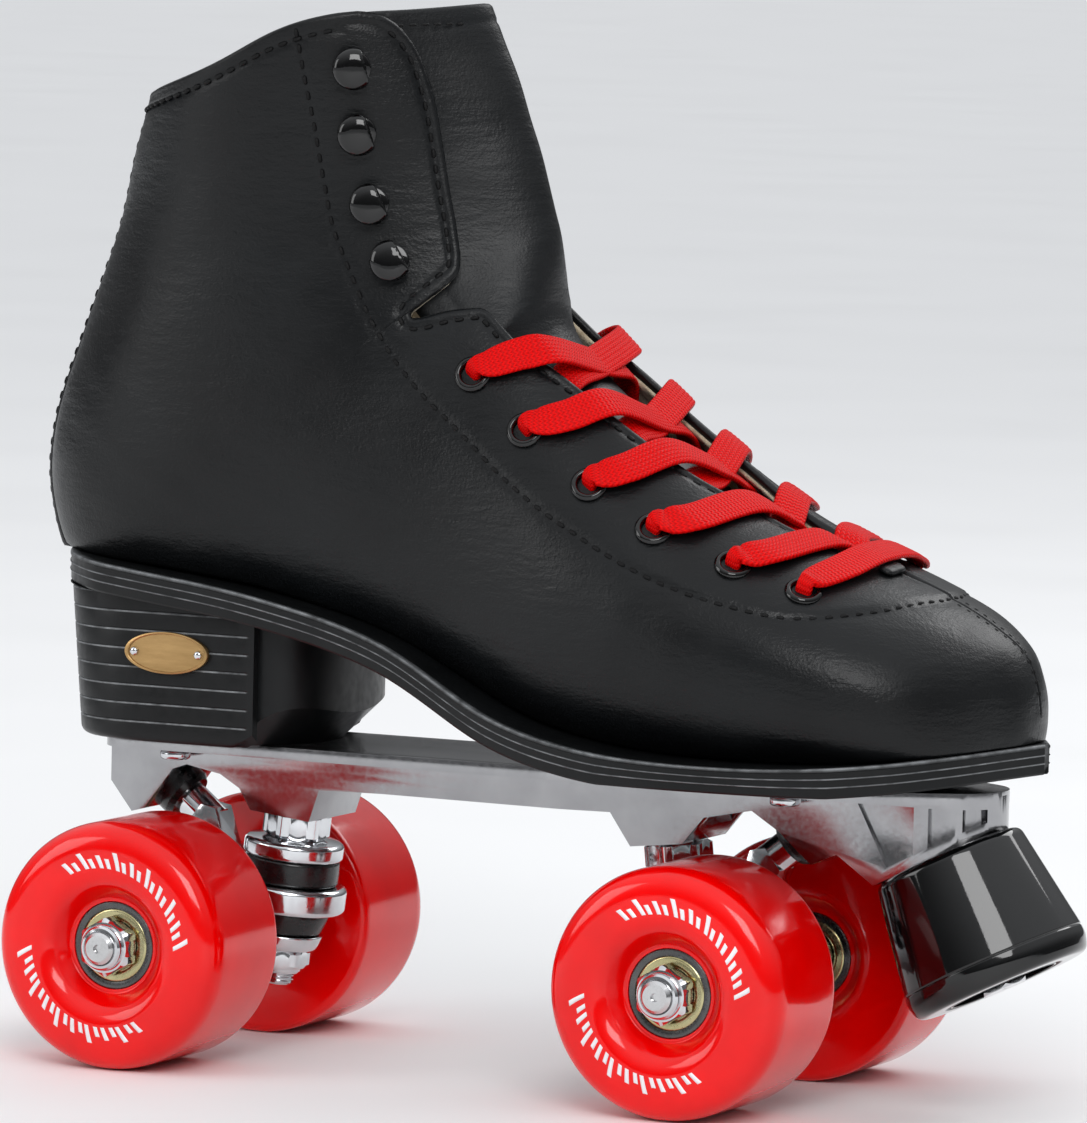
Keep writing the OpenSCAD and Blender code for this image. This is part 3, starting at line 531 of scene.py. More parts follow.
def metal(name, dark, light, low, high, grain=900, depth=0.02, scale=(1, 1, 1)):
    """Plated or polished metal with faint clouding, fine scratches and small dents."""
    mat = material(name, light, low, 1.0)
    base = coords(mat, scale)
    cloud = noise(mat, base, 70, 4, 0.6)
    tint(mat, cloud, dark, light)
    fine = noise(mat, base, grain, 3, 0.6)
    rough(mat, fine, low, high)
    bump(mat, [(cloud, 0.5, 0.05), (fine, depth, 0.25)])
    return mat


def moulded(name, dark, light, low, high, specular=0.5, ripple=0.25, coat=0.0):
    """Cast urethane, rubber or plastic: a smooth skin with a slight ripple."""
    mat = material(name, light, low, Specular_IOR_Level=specular, Coat_Weight=coat, Coat_Roughness=0.04)
    base = coords(mat)
    cloud = noise(mat, base, 45, 3)
    tint(mat, cloud, dark, light)
    rough(mat, noise(mat, base, 420, 3), low, high)
    bump(mat, [(cloud, ripple, 0.12), (noise(mat, base, 1800, 2), 0.03, 0.15)])
    return mat


def painted_highlight_lines(mat):
    """Adds painted highlights: paler, patchy lines where the mesh's line attribute says so, standing in for
    light caught on groove lips and ridges.
    """
    base_color = principled(mat).inputs["Base Color"]
    before = base_color.links[0].from_node
    mark = node(mat, "ShaderNodeAttribute", attribute_name="line")
    patchy = spread(mat, noise(mat, coords(mat), 260, 3), 0.25, 1.0)
    mix = node(mat, "ShaderNodeMix", data_type="RGBA")
    factor, plain, highlight_input = 0, 6, 7
    # Pale grey painted highlight colour, mixed in where the line attribute is set
    mix.inputs[highlight_input].default_value = (0.26, 0.27, 0.28, 1)
    link(mat, calc(mat, "MULTIPLY", mark, patchy), mix, factor)
    link(mat, before, mix, plain)
    mat.node_tree.links.new(mix.outputs[2], base_color)
    return mat


BLACK_LEATHER = leather("black_leather", (0.0018, 0.002, 0.0024), (0.004, 0.0048, 0.0055), 0.3, 0.42, 0.26)
TONGUE_LEATHER = leather("tongue_leather", (0.0035, 0.004, 0.0045), (0.007, 0.008, 0.009), 0.34, 0.48, 0.27)
THREAD = moulded("black_thread", (0.001, 0.001, 0.0012), (0.003, 0.003, 0.0032), 0.5, 0.65, 0.2)
FLEECE = fleece("fleece_lining", (0.30, 0.24, 0.15), (0.66, 0.57, 0.42))
FOOTBED = fleece("footbed_fabric", (0.2, 0.16, 0.11), (0.36, 0.3, 0.22))
SOLE_DARK, SOLE_LIGHT = (0.003, 0.0033, 0.0036), (0.006, 0.0066, 0.0072)
# Sole and heel materials carry painted highlight lines
SOLE = painted_highlight_lines(moulded("sole_black", SOLE_DARK, SOLE_LIGHT, 0.3, 0.44, 0.25, 0.4))
HEEL = painted_highlight_lines(moulded("heel_black", SOLE_DARK, SOLE_LIGHT, 0.28, 0.42, 0.25, 0.3))
BADGE = metal("badge_brass", (0.36, 0.22, 0.09), (0.50, 0.32, 0.14), 0.3, 0.45, 1500, 0.03, (1, 1, 6))
ENAMEL = moulded("black_enamel", (0.001, 0.001, 0.001), (0.002, 0.002, 0.0022), 0.04, 0.08, 0.4, 0.15, 0.2)
# The lace's dark red end is painted shade for the braid's valleys
LACE = braid("red_lace", (0.3, 0.0, 0.0), (0.82, 0.0, 0.0), WALES, 1.25)
PLATE = metal("plate_alloy", (0.31, 0.31, 0.32), (0.38, 0.38, 0.39), 0.12, 0.24, 700, 0.03)
CHROME = metal("hardware_chrome", (0.52, 0.53, 0.55), (0.72, 0.73, 0.75), 0.07, 0.17, 1100, 0.02)
AXLE_STEEL = metal("axle_steel", (0.5, 0.5, 0.5), (0.68, 0.68, 0.69), 0.14, 0.26, 1400, 0.02)
ZINC = metal("bearing_zinc", (0.40, 0.36, 0.17), (0.58, 0.54, 0.32), 0.16, 0.3, 1200, 0.02)
STEEL = metal("bearing_steel", (0.08, 0.08, 0.08), (0.14, 0.14, 0.14), 0.2, 0.32, 1300, 0.02)
RUBBER = moulded("cushion_rubber", (0.003, 0.003, 0.0035), (0.006, 0.006, 0.0065), 0.2, 0.34, 0.5, 0.3)
STOP_RUBBER = moulded("toe_stop_rubber", (0.001, 0.0011, 0.0012), SOLE_DARK, 0.04, 0.09, 0.4, 0.9, 0.3)
URETHANE = moulded("red_urethane", (0.72, 0.0, 0.0), (0.86, 0.0, 0.0), 0.09, 0.17, 0.3, 0.5, 0.25)
INK = moulded("white_ink", (0.78, 0.74, 0.76), (0.88, 0.85, 0.87), 0.25, 0.35)


# ---- Boot ----
def edge_angle(k):
    """Angle of the upper's edge at station k, with the corners of the outline eased."""
    table = np.array(FACING_EDGE, float) * [9, 0.7]
    eased = rounded(table, 1.6, 4, closed=False) / [9, 0.7]
    return np.interp(k, eased[:, 0], eased[:, 1])


def girth_angles(k, distances, spare, count):
    """Angles at the given distances from the upper's edge, then count even steps on to 180 degrees."""
    probe = np.linspace(edge_angle(k), 180 - spare, 240)
    p = skin(k, probe)
    run = np.concatenate([[0], np.cumsum(np.linalg.norm(np.diff(p, axis=0), axis=1))])
    near = np.array(distances, float)
    near = near * min(1, 0.5 * run[-1] / near[-1])
    rest = np.linspace(near[-1], run[-1], count + 1)[1:]
    return np.interp(np.concatenate([near, rest]), run, probe)


def seam_path(table, per_span=10):
    return spline([(k * 9, a * 0.7) for k, a in table], per_span) / [9, 0.7]


def distance_to(points, path, cut=6.0):
    """Distance from each point to a dense path, up to cut."""
    tree = KDTree(len(path))
    for i, p in enumerate(path):
        tree.insert(p, i)
    tree.balance()
    flat = np.asarray(points).reshape(-1, 3)
    found = np.array([min(tree.find(p)[2], cut) for p in flat])
    return found.reshape(np.asarray(points).shape[:-1])


def offset_path(path, distance, side=1):
    """Path at a distance inside another, both as (station, angle) on one side of the boot."""
    k, a = path[:, 0], path[:, 1]
    base = skin(k, a)
    tangent = unit(np.gradient(base, axis=0))
    inward = np.cross(skin_normal(k, a), tangent)
    target = base + inward * distance * side
    for _ in range(4):
        here = skin(k, a)
        dk = (skin(k + 0.01, a) - skin(k - 0.01, a)) / 0.02
        da = (skin(k, a + 0.2) - skin(k, a - 0.2)) / 0.4
        jac = np.stack([dk, da], axis=-1)
        step = np.einsum("nij,nj->ni", np.linalg.pinv(jac), target - here)
        k, a = np.clip(k + step[:, 0], 0, LAST), a + step[:, 1]
    gap = distance_to(skin(k, a), base, distance * 2)
    keep = gap > 0.96 * distance
    return np.stack([k, a], axis=1)[keep]


STATIONS = np.unique(np.concatenate([
    np.linspace(0, 1, 14), np.linspace(1, 13.4, 130), np.linspace(13.4, 14.1, 28),
    np.linspace(14.1, 19.6, 62), np.linspace(19.6, 20, 16)]))
EDGE_STEPS = [0, 0.06, 0.22, 0.5, 0.85, 1.25, 1.75, 2.3, 2.9, 3.5, 4.2, 5.1, 6.2]
EDGE_K = np.linspace(4.9, 20, 900)
EDGE_PATH = np.stack([EDGE_K, edge_angle(EDGE_K)], axis=1)


def upper_half(side):
    angles = np.stack([girth_angles(k, EDGE_STEPS, 0.3, 104) for k in STATIONS])
    k = np.repeat(STATIONS[:, None], angles.shape[1], axis=1)
    base = skin(k, angles)
    edge = distance_to(base, skin(EDGE_K, edge_angle(EDGE_K)))
    seam_k = np.linspace(0, 5.1, 120)
    toe_seam = distance_to(base, skin(seam_k, 0.4))
    collar = np.linalg.norm(skin(np.full_like(angles, LAST), angles) - base, axis=-1)
    panel = seam_path(PANEL_SEAM, 24)
    groove = distance_to(base, skin(panel[:, 0], panel[:, 1]))
    order = np.argsort(panel[:, 0])
    line = np.interp(k, panel[order, 0], panel[order, 1])
    inside = np.where((angles < line) & (k > panel[:, 0].min()), groove, -groove)
    stitched = offset_path(EDGE_PATH, EDGE_SEAM)
    edge_groove = distance_to(base, skin(stitched[:, 0], stitched[:, 1]))
    collar_groove = np.abs(collar - COLLAR_SEAM)
    # The edge is turned over: it thins out in a half round
    round_r = 1.15
    d = np.minimum(edge, np.minimum(collar, np.where(k < 5.1, toe_seam * 2.2, 9)))
    bulge = np.sqrt(np.clip(1 - (1 - np.clip(d / round_r, 0, 1)) ** 2, 0, 1))
    step_h = 0.18 + 0.45 * (1 - smooth((k - 5.5) / 3.5))
    relief = step_h * smooth((inside + 0.8) / 1.1)
    relief -= SEAM_GROOVE * np.exp(-(groove / 0.7) ** 2)
    relief -= 0.5 * np.exp(-(edge_groove / 0.75) ** 2)
    relief -= 0.42 * np.exp(-(collar_groove / 0.75) ** 2) * (angles > 60)
    relief += creases(base, k, angles)
    relief *= smooth(d / 1.5)
    normal = skin_normal(np.clip(k, 0.1, LAST), side * angles)
    outer = skin(k, side * angles, UPPER_T / 2 * (1 - bulge)) + normal * relief[..., None]
    inner = skin(k, side * angles, UPPER_T / 2 * (1 + bulge) + 0.02)
    return shell(outer, inner)


def creases(p, k, angles):
    """Soft hollows and wrinkles where the ankle and the ball of the foot bend."""
    x, z = p[..., 0], p[..., 2]
    ankle = smooth((k - 10.5) / 2.5) * smooth((17.5 - k) / 3) * smooth((angles - 60) / 30)
    wave = np.sin(x * 0.21 + z * 0.34 + 1.5 * np.sin(z * 0.07 + x * 0.05))
    soft = np.sin(x * 0.055 - z * 0.043 + 0.8) * np.sin(x * 0.031 + z * 0.062 + 2.1)
    vamp = smooth((k - 4.5) / 2) * smooth((10 - k) / 2)
    vamp = vamp * smooth((angles - 66) / 14) * smooth((150 - angles) / 40)
    fold = np.sin(x * 0.29 - z * 0.12 + np.sin(x * 0.11))
    return ankle * 0.07 * wave + 0.35 * soft * smooth((angles - 70) / 20) * smooth(k / 3) + vamp * 0.06 * fold


def stitches(path, side, pitch=3.9, length=2.7, radius=0.46, lift=-0.1):
    """Row of threads along a (station, angle) path on the skin."""
    path = path * [1, side]
    fine = evenly(skin(path[:, 0], path[:, 1]), 0.25, path)
    count = max(int(len(fine) * 0.25 / pitch), 1)
    ring = np.arange(8) * math.pi / 4
    parts = []
    for i in range(count):
        at = (i + 0.5) / count * (len(fine) - 1)
        spots = np.clip(np.linspace(at - length / 0.5, at + length / 0.5, 7), 0, len(fine) - 1)
        row = np.stack([np.interp(spots, np.arange(len(fine)), fine[:, j]) for j in range(5)], axis=1)
        n = skin_normal(row[:, 3], row[:, 4])
        b = np.cross(n, unit(np.gradient(row[:, :3], axis=0)))
        u = np.linspace(-1, 1, 7)
        r = radius * np.sqrt(np.clip(1 - u ** 4, 0.02, 1))
        centre = row[:, :3] + n * (lift - 0.45 * u[:, None] ** 4)
        loop = (centre[:, None] + b[:, None] * (r[:, None] * np.cos(ring))[..., None] * 1.15
                + n[:, None] * (r[:, None] * np.sin(ring))[..., None])
        parts.append((loop.reshape(-1, 3), tube_faces(7, 8)))
    return joined(parts)


def make_upper():
    edge = offset_path(EDGE_PATH, EDGE_SEAM)
    start = int(np.argmax(edge[:, 0] > 5.6))
    stop = int(np.argmax(edge[:, 0] > 19.45))
    panel = seam_path(PANEL_SEAM, 24)
    collar_angles = np.linspace(62, 166, 60)
    collar = np.stack([LAST - COLLAR_SEAM / np.linalg.norm(
        skin(LAST, collar_angles) - skin(LAST - 1, collar_angles), axis=-1), collar_angles], axis=1)
    toe_k = np.linspace(4.15, 0.5, 60)
    toe = np.stack([toe_k, np.full(60, 3.2) + 22 * smooth(1 - toe_k / 1.2) ** 2], axis=1)
    for name, side in (("upper_right", 1), ("upper_left", -1)):
        add_mesh(name + "_leather", upper_half(side), BLACK_LEATHER, [name])
        rows = [stitches(panel, side), stitches(edge[start:stop], side), stitches(collar, side),
                stitches(toe, side, 2.6, 1.7, 0.3)]
        add_mesh(name + "_stitching", joined(rows), THREAD)


def make_backstay():
    k = np.concatenate([np.linspace(13.6, 19.9, 90), [19.93, 19.95]])
    half, seam = 12.5, 3.4
    angles = np.linspace(180 - half, 180 + half, 41)
    kk, aa = np.meshgrid(k, angles, indexing="ij")
    side = smooth((1 - np.abs(aa - 180) / half) * 5)
    end = smooth((kk - k[0]) / 0.1) * smooth((k[-1] - kk) / 0.1)
    height = 0.15 + 1.1 * np.sqrt(side * end)
    groove = 0.22 * np.exp(-((np.abs(aa - 180) - half + seam) / 0.9) ** 2)
    strip = shell(skin(kk, aa, -(height - groove)), skin(kk, aa, -0.1))
    add_mesh("backstay_strip", strip, BLACK_LEATHER, ["backstay"])
    rows = []
    for edge in (-1, 1):
        path = np.stack([np.linspace(14.6, 19.75, 80), np.full(80, 180 + edge * (half - seam))], axis=1)
        rows.append(stitches(path, 1, radius=0.34, lift=1.0))
    add_mesh("backstay_stitching", joined(rows), THREAD)


def make_lining():
    k = np.concatenate([np.linspace(0.9, 19.75, 190), [19.8, 19.84, 19.86, 19.87]])
    rng = np.random.default_rng(7)
    parts = []
    for side in (1, -1):
        angles = np.stack([girth_angles(s, [0.35, 0.5, 0.9, 1.5, 2.3, 3.3], 0.6, 84) for s in k])
        kk = np.repeat(k[:, None], angles.shape[1], axis=1)
        edge = np.linspace(0, 1, angles.shape[1])[None, :] * 90
        rim = smooth(edge / 2.5) * smooth((k[-1] - kk) / 0.1)
        pile = rng.random(kk.shape) * 0.35
        inner = skin(kk, side * angles, STACK_T - 0.35 - 0.45 * (1 - rim) + pile)
        outer = skin(kk, side * angles, UPPER_T + 0.15 + 0.2 * (1 - rim))
        parts.append(shell(outer, inner))
    add_mesh("lining_fleece", joined(parts), FLEECE, ["lining"])


def tongue_depth(k, a):
    base = curve(TONGUE_SINK, k)
    edge = STACK_T + 0.8
    return base + np.maximum(edge - base, 0) * smooth(np.abs(a) / np.maximum(curve(THROAT, k) - 2, 8))


def make_tongue():
    k = np.concatenate([np.linspace(6, 19.7, 130), np.linspace(19.7, 20, 12)])
    kk = np.repeat(k[:, None], 97, axis=1)
    u = np.linspace(-1, 1, 97)[None, :]
    reach = np.minimum(curve(THROAT, k) + 14, 52)[:, None]
    aa = u * reach
    depth = tongue_depth(kk, aa)
    top = np.linalg.norm(skin(np.full_like(aa, LAST), aa) - skin(kk, aa), axis=-1)
    side = (1 - np.abs(u)) * reach * 0.6
    d = np.minimum(top, side)
    bulge = np.sqrt(np.clip(1 - (1 - np.clip(d / 1.3, 0, 1)) ** 2, 0, 1))
    thick = 2.5
    groove = 0.3 * np.exp(-((top - 5) / 0.6) ** 2) + 0.25 * np.exp(-((side - 5) / 0.7) ** 2)
    outer = skin(kk, aa, depth + thick / 2 * (1 - bulge) + groove * bulge)
    inner = skin(kk, aa, depth + thick / 2 * (1 + bulge) + 0.02)
    tongue = add_mesh("tongue_pad", shell(outer, inner), TONGUE_LEATHER, ["tongue"])
    a = np.linspace(-44, 44, 60)
    drop = 5 / np.linalg.norm(skin(LAST, a) - skin(LAST - 1, a), axis=-1)
    path = np.stack([LAST - drop, a], axis=1)
    add_mesh("tongue_stitching", stitches(path, 1, 3.4, 2.2, 0.3, -0.75), THREAD)


def make_footbed():
    k = np.linspace(2.2, 13.4, 90)
    kk, aa = np.meshgrid(k, np.linspace(128, 232, 61), indexing="ij")
    edge = np.minimum(smooth((aa - 128) / 6), smooth((232 - aa) / 6))
    upper = skin(kk, aa, STACK_T + 2.2 + 1.3 * edge)
    lower = skin(kk, aa, STACK_T + 1)
    pad = add_mesh("footbed_pad", shell(upper, lower), FOOTBED, ["footbed"])


def make_eyelets():
    low = -STACK_T - 0.4
    corners = [(EYELET_HOLE, 0.3), (EYELET_HOLE, low), (3.4, low), (3.4, 0.1), (4.5, 0.15), (4.7, 0.9),
               (3.9, 1.75), (3.0, 1.5)]
    ring = lathe(rounded(corners, [0.3, 0.1, 0.1, 0.1, 0.3, 0.5, 0.8, 0.7]), 48)
    parts = [placed(ring, on_skin(k, side * a)) for side in (1, -1) for k, a in EYELETS]
    add_mesh("eyelet_rings", joined(parts), ENAMEL, ["eyelets"], sharp=50)


def make_hooks():
    """Speed hooks: a riveted foot, a neck and a domed cap with one flat side."""
    base = [(0, 0.2), (4.4, 0.2), (4.4, 1.2), (2.5, 1.5), (0, 1.5)]
    foot = lathe(rounded(base, [0, 0.3, 0.4, 0.6, 0], 3), 40)
    neck = lathe([(0, 1), (2.2, 1), (2.0, 2.6), (2.6, 4.2), (0, 4.2)], 40)
    dome = [(0, 3.6), (4.3, 3.5), (5.1, 3.9), (5.25, 4.5), (4.7, 5.5), (3.3, 6.2), (1.6, 6.45), (0, 6.5)]
    cap = lathe(rounded(dome, [0, 0.5, 0.3, 0.4, 0.8, 0.8, 0.8, 0], 3), 64)
    p = cap[0].copy()
    flat = 2.9
    p[:, 2] -= 0.35 * np.maximum(p[:, 0] - flat, 0)
    over = p[:, 0] > flat
    p[over, 0] = flat + (p[over, 0] - flat) * 0.12
    parts = []
    for side in (1, -1):
        for k, a in HOOKS:
            where = on_skin(k, side * a)
            parts += [placed(foot, where), placed(neck, where), placed((p, cap[1]), where)]
    add_mesh("hook_caps", joined(parts), ENAMEL, ["lace_hooks"], sharp=40)


def make_throat_tab():
    """Folded and ribbed tab at the bottom of the throat."""
    lie = Matrix.Rotation(math.radians(24), 4, "Y") @ Matrix.Rotation(math.radians(4), 4, "X")
    at = Matrix.Translation(Vector(skin(5.2, 6, -1.6))) @ lie
    u, v = np.meshgrid(np.linspace(0, 2 * math.pi, 40, endpoint=False), np.linspace(-1, 1, 25), indexing="ij")
    wide = 5 * v
    swell = np.power(np.clip(1 - np.abs(v) ** 6, 0, 1), 0.5)
    rib = 1 + 0.05 * np.cos(wide * 7)
    tab = np.stack([2.2 * np.sign(np.cos(u)) * np.abs(np.cos(u)) ** 0.7 * swell * rib, wide,
                    0.95 * np.sign(np.sin(u)) * np.abs(np.sin(u)) ** 0.8 * swell * rib], axis=-1)
    fold = placed((tab.reshape(-1, 3), grid_faces(40, 25, wrap_rows=True)), at)
    add_mesh("throat_tab_fold", fold, BLACK_LEATHER, ["throat_tab"])


# ---- Lace ----
# Route as (station, angle, depth, narrowing); narrowing is 1 inside an eyelet
def facing(k):
    return max(float(curve(THROAT, k)), 0)


def sag(k):
    """Depth of the straight line across the throat below the skin's ridge."""
    ends = (skin(k, facing(k)) + skin(k, -facing(k))) / 2
    return float(np.linalg.norm(skin(k, 0) - ends))


def strap(i, side):
    a, b = EYELETS[i], EYELETS[i + 1]
    rise = b[0] - a[0]
    mid = a[0] + 0.12 * rise
    across = min(sag(mid) + (0.5 if side < 0 else 2.7), float(curve(TONGUE_SINK, mid)) - 2.4)
    return [(a[0], side * a[1], STACK_T + 0.9, 1),
            (a[0] + 0.02, side * (a[1] - 3), STACK_T + 2.4, 0.8),
            (a[0] + 0.05 * rise, side * (facing(a[0]) + 8), STACK_T + 1.8, 0.3),
            (a[0] + 0.08 * rise, side * facing(a[0]) * 0.75, 4.7, 0),
            (mid, 0, across, 0),
            (a[0] + 0.3 * rise, -side * facing(b[0]) * 0.8, -2.2, 0),
            (a[0] + 0.58 * rise, -side * (b[1] - 14), -2.9, 0),
            (a[0] + 0.84 * rise, -side * (b[1] - 5), -2.9, 0.3),
            (b[0], -side * (b[1] - 2), -2.9, 1),
            (b[0], -side * b[1], 1, 1)]


def strand(side):
    knots = []
    for i in range(len(EYELETS) - 1):
        knots += strap(i, side if i % 2 == 0 else -side)
    return knots


def lace_tail(side):
    k, a = EYELETS[-1]
    return [(k, side * a, STACK_T + 0.9, 1), (k - 0.1, side * (a + 1), STACK_T + 2.6, 0.8),
            (k - 0.3, side * (a + 3), STACK_T + 4, 0.4),
            (k - 0.9, side * (a + 10), STACK_T + 5, 0.3)]


def lace_bar():
    k, a = EYELETS[0]
    half = [(k, a, 1, 1), (k, a - 2, -2.9, 1), (k - 0.12, a - 7, -2.9, 0.3), (k - 0.3, a - 20, -3, 0),
            (k - 0.4, 8, -3.9, 0)]
    return half + [(s[0], -s[1], s[2], s[3]) for s in half[::-1]]


def make_lace():
    route = lace_tail(-1)[::-1] + strand(1)[::-1] + lace_bar() + strand(-1) + lace_tail(1)
    q = np.array(route, float)
    square_on = skin(q[:, 0], q[:, 1]) - skin_normal(q[:, 0], q[:, 1]) * q[:, 2:3]
    knots = np.where(q[:, 3:4] == 1, square_on, skin(q[:, 0], q[:, 1], q[:, 2]))
    path = spline(np.hstack([knots, q]), 14)
    fine = evenly(path[:, :3], LACE_STEP, path[:, 3:])
    centre, at = fine[:, :3], fine[:, 3:]
    tangent = unit(np.gradient(centre, axis=0))
    lengthwise = unit(skin(at[:, 0] + 0.3, at[:, 1]) - skin(at[:, 0] - 0.3, at[:, 1]))
    wide = unit(lengthwise - tangent * np.sum(lengthwise * tangent, axis=1, keepdims=True))
    for _ in range(3):
        wide[1:-1] = unit(wide[:-2] + 2 * wide[1:-1] + wide[2:])
    thick = np.cross(tangent, wide)
    narrow = np.clip(at[:, 3], 0, 1)
    hw = LACE_W / 2 * (1 - narrow) + 2.1 * narrow
    ht = LACE_T / 2 * (1 - narrow) + 1.15 * narrow
    s = np.linspace(-1, 1, WALES * 5 + 1)
    body = np.power(1 - np.abs(s) ** 5, 0.5)
    rib = np.abs(np.sin((s + 1) / 2 * WALES * math.pi))
    top = np.stack([s, body, rib], axis=1)
    loop = np.vstack([top, (top * [1, -1, 1])[::-1][1:-1]])
    n, m = len(centre), len(loop)
    ribs = np.sign(loop[None, :, 1]) * WALE_RELIEF * loop[None, :, 2] * (1 - narrow[:, None] * 0.5)
    rise = loop[None, :, 1] * ht[:, None] + ribs
    points = (centre[:, None] + wide[:, None] * (hw[:, None] * loop[None, :, 0])[..., None]
              + thick[:, None] * rise[..., None])
    along = np.repeat(np.arange(n)[:, None] * LACE_STEP, m, axis=1)
    across = np.repeat((loop[:, 0] + 1)[None, :] / 2, n, axis=0)
    add_mesh("lace_braid", (points.reshape(-1, 3), tube_faces(n, m)), LACE, ["lace"],
             attributes={"along": along.ravel(), "across": across.ravel()})


# ---- Sole and heel ----
def outline_frame(xs, half):
    """Right-hand outline of the sole at xs and its outward direction in plan."""
    y = -half(xs)
    p = np.stack([xs, y], axis=1)
    t = unit(np.gradient(p, axis=0))
    return p, np.stack([t[:, 1], -t[:, 0]], axis=1)


def make_outsole():
    turn = np.linspace(0, math.pi, 260)
    xs = SOLE_BACK + (SOLE_TIP - SOLE_BACK) * (1 - np.cos(turn)) / 2
    p, out = outline_frame(xs, lambda x: curve(SOLE_HALF, x))
    # Side of the sole from the top inner edge to the bottom: (outwards, share of the height, painted
    # highlight line)
    side = [(-2.0, 0.0, 0), (-0.4, 0.0, 0.6), (-0.1, 0.02, 1), (0.1, 0.06, 0.5), (0.1, 0.12, 0),
            (-0.1, 0.14, 0), (-0.1, 0.32, 0), (0.05, 0.335, 0.4), (0.17, 0.355, 1), (0.05, 0.375, 0.4),
            (-0.12, 0.39, 0), (-0.12, 0.59, 0), (0.03, 0.605, 0.4), (0.15, 0.625, 1), (0.03, 0.645, 0.4),
            (-0.15, 0.66, 0), (-0.15, 0.92, 0), (-0.45, 0.985, 0), (-1.2, 1.0, 0)]
    rows = []
    for reach, share, _ in side:
        x = p[:, 0] + out[:, 0] * reach
        y = p[:, 1] + out[:, 1] * reach
        top, low = sole_top(p[:, 0]), sole_low(p[:, 0])
        z = top + (low - top) * share
        rows.append(np.stack([x, y, z], axis=1))
    right = np.stack(rows, axis=1)
    left = right * [1, -1, 1]
    loop = np.concatenate([right, left[:, ::-1]], axis=1)
    loop[..., 1] += toe_swing(loop[..., 0])
    n, m = loop.shape[:2]
    # Painted highlights along the top lip and the two ridges
    highlight_share = [line for _, _, line in side]
    add_mesh("outsole_edge", (loop.reshape(-1, 3), tube_faces(n, m)), SOLE, ["outsole"], sharp=25,
             attributes={"line": np.tile(highlight_share + highlight_share[::-1], n)})


def heel_lean(x, z):
    """The heel's plan at height z: its back leans outwards as it rises."""
    share = smooth((NOSE_START - x) / (NOSE_START - HEEL_ROUND_X))
    leaned = HEEL_BACK + (x - HEEL_BACK) / math.cos(HEEL_LEAN) - math.tan(HEEL_LEAN) * (z - PLATE_TOP)
    return x + (leaned - x) * share


def squared_off(share):
    """Sine or cosine bent so that a circle becomes slightly square."""
    return np.sign(share) * np.abs(share) ** 0.85


def heel_plan(inset, front, count=60):
    """Heel outline in plan from the right front, round the back, to the left front."""
    t = np.radians(np.linspace(270, 90, count))
    c, s = np.cos(t), np.sin(t)
    a, b = HEEL_ROUND_X - HEEL_BACK - inset, HEEL_HW - inset
    back = np.stack([HEEL_ROUND_X + a * squared_off(c), b * squared_off(s)], axis=1)
    run = front + (HEEL_ROUND_X - front) * (1 - np.cos(np.linspace(0, math.pi / 2, 30)))
    right = np.stack([run[:-1], np.full(29, -b)], axis=1)
    return np.vstack([right, back, (right * [1, -1])[::-1]])


def heel_top(x):
    return sole_top(np.maximum(x, SOLE_BACK)) - SOLE_T - GAP


def corner_floor(x, y, radius):
    """Lowest height in front, where a cone cuts the heel's lower corner away."""
    away = np.where(x > CORNER_X, np.hypot(x - CORNER_X, y), 0)
    return np.maximum(PLATE_TOP + GAP, PLATE_TOP + away - radius)


def make_heel_wrap():
    plan = heel_plan(0, WRAP_FRONT)
    out = unit(np.stack([np.gradient(plan[:, 1]), -np.gradient(plan[:, 0])], axis=1))
    centre = np.array([HEEL_ROUND_X, 0])
    out *= np.sign(np.sum(out * (plan - centre), axis=1, keepdims=True))
    edge_r = 2.0
    heights = np.array([0, 0.12, 0.4, 0.8, 1.4, edge_r])
    levels = list(PLATE_TOP + GAP + heights)
    depths = list(edge_r - np.sqrt(edge_r ** 2 - (edge_r - heights) ** 2))
    lines = [0.0] * len(levels)
    first, last, pitch = 84.6, 122, 4.6
    for groove in np.arange(first, last, pitch):
        levels += [groove - 0.45, groove - 0.22, groove - 0.08, groove + 0.08, groove + 0.34]
        depths += [0.0, 0.06, 0.22, 0.28, 0.0]
        # Painted highlight on the lower lip of each groove
        lines += [0.0, 1.0, 1.0, 0.0, 0.0]
    levels, depths, lines = levels + [125], depths + [0.0], lines + [0.0]
    back = smooth((-78 - plan[:, 0]) / 16)
    fade = smooth((WRAP_FRONT - 1.6 - plan[:, 0]) / 1.0)
    outer, inner, highlight_share = [], [], []
    for z, d, line in zip(levels, depths, lines):
        low_edge = z < PLATE_TOP + GAP + edge_r + 0.01
        reach = d * (0.25 + 0.75 * back) if low_edge else d * fade
        for grid, depth in ((outer, reach), (inner, WRAP_T)):
            p = plan - out * np.reshape(depth, (-1, 1) if np.ndim(depth) else ())
            x = heel_lean(p[:, 0], z)
            height = np.clip(z, corner_floor(x, p[:, 1], 36), heel_top(x))
            grid.append(np.column_stack([x, p[:, 1], height]))
        highlight_share.append(line * fade)
    wrap = shell(np.stack(outer), np.stack(inner))
    line = np.concatenate([np.ravel(highlight_share), np.zeros(len(wrap[0]) - np.size(highlight_share))])
    add_mesh("heel_wrap_ribs", wrap, HEEL, ["heel_wrap"], sharp=25,
             attributes={"line": line})


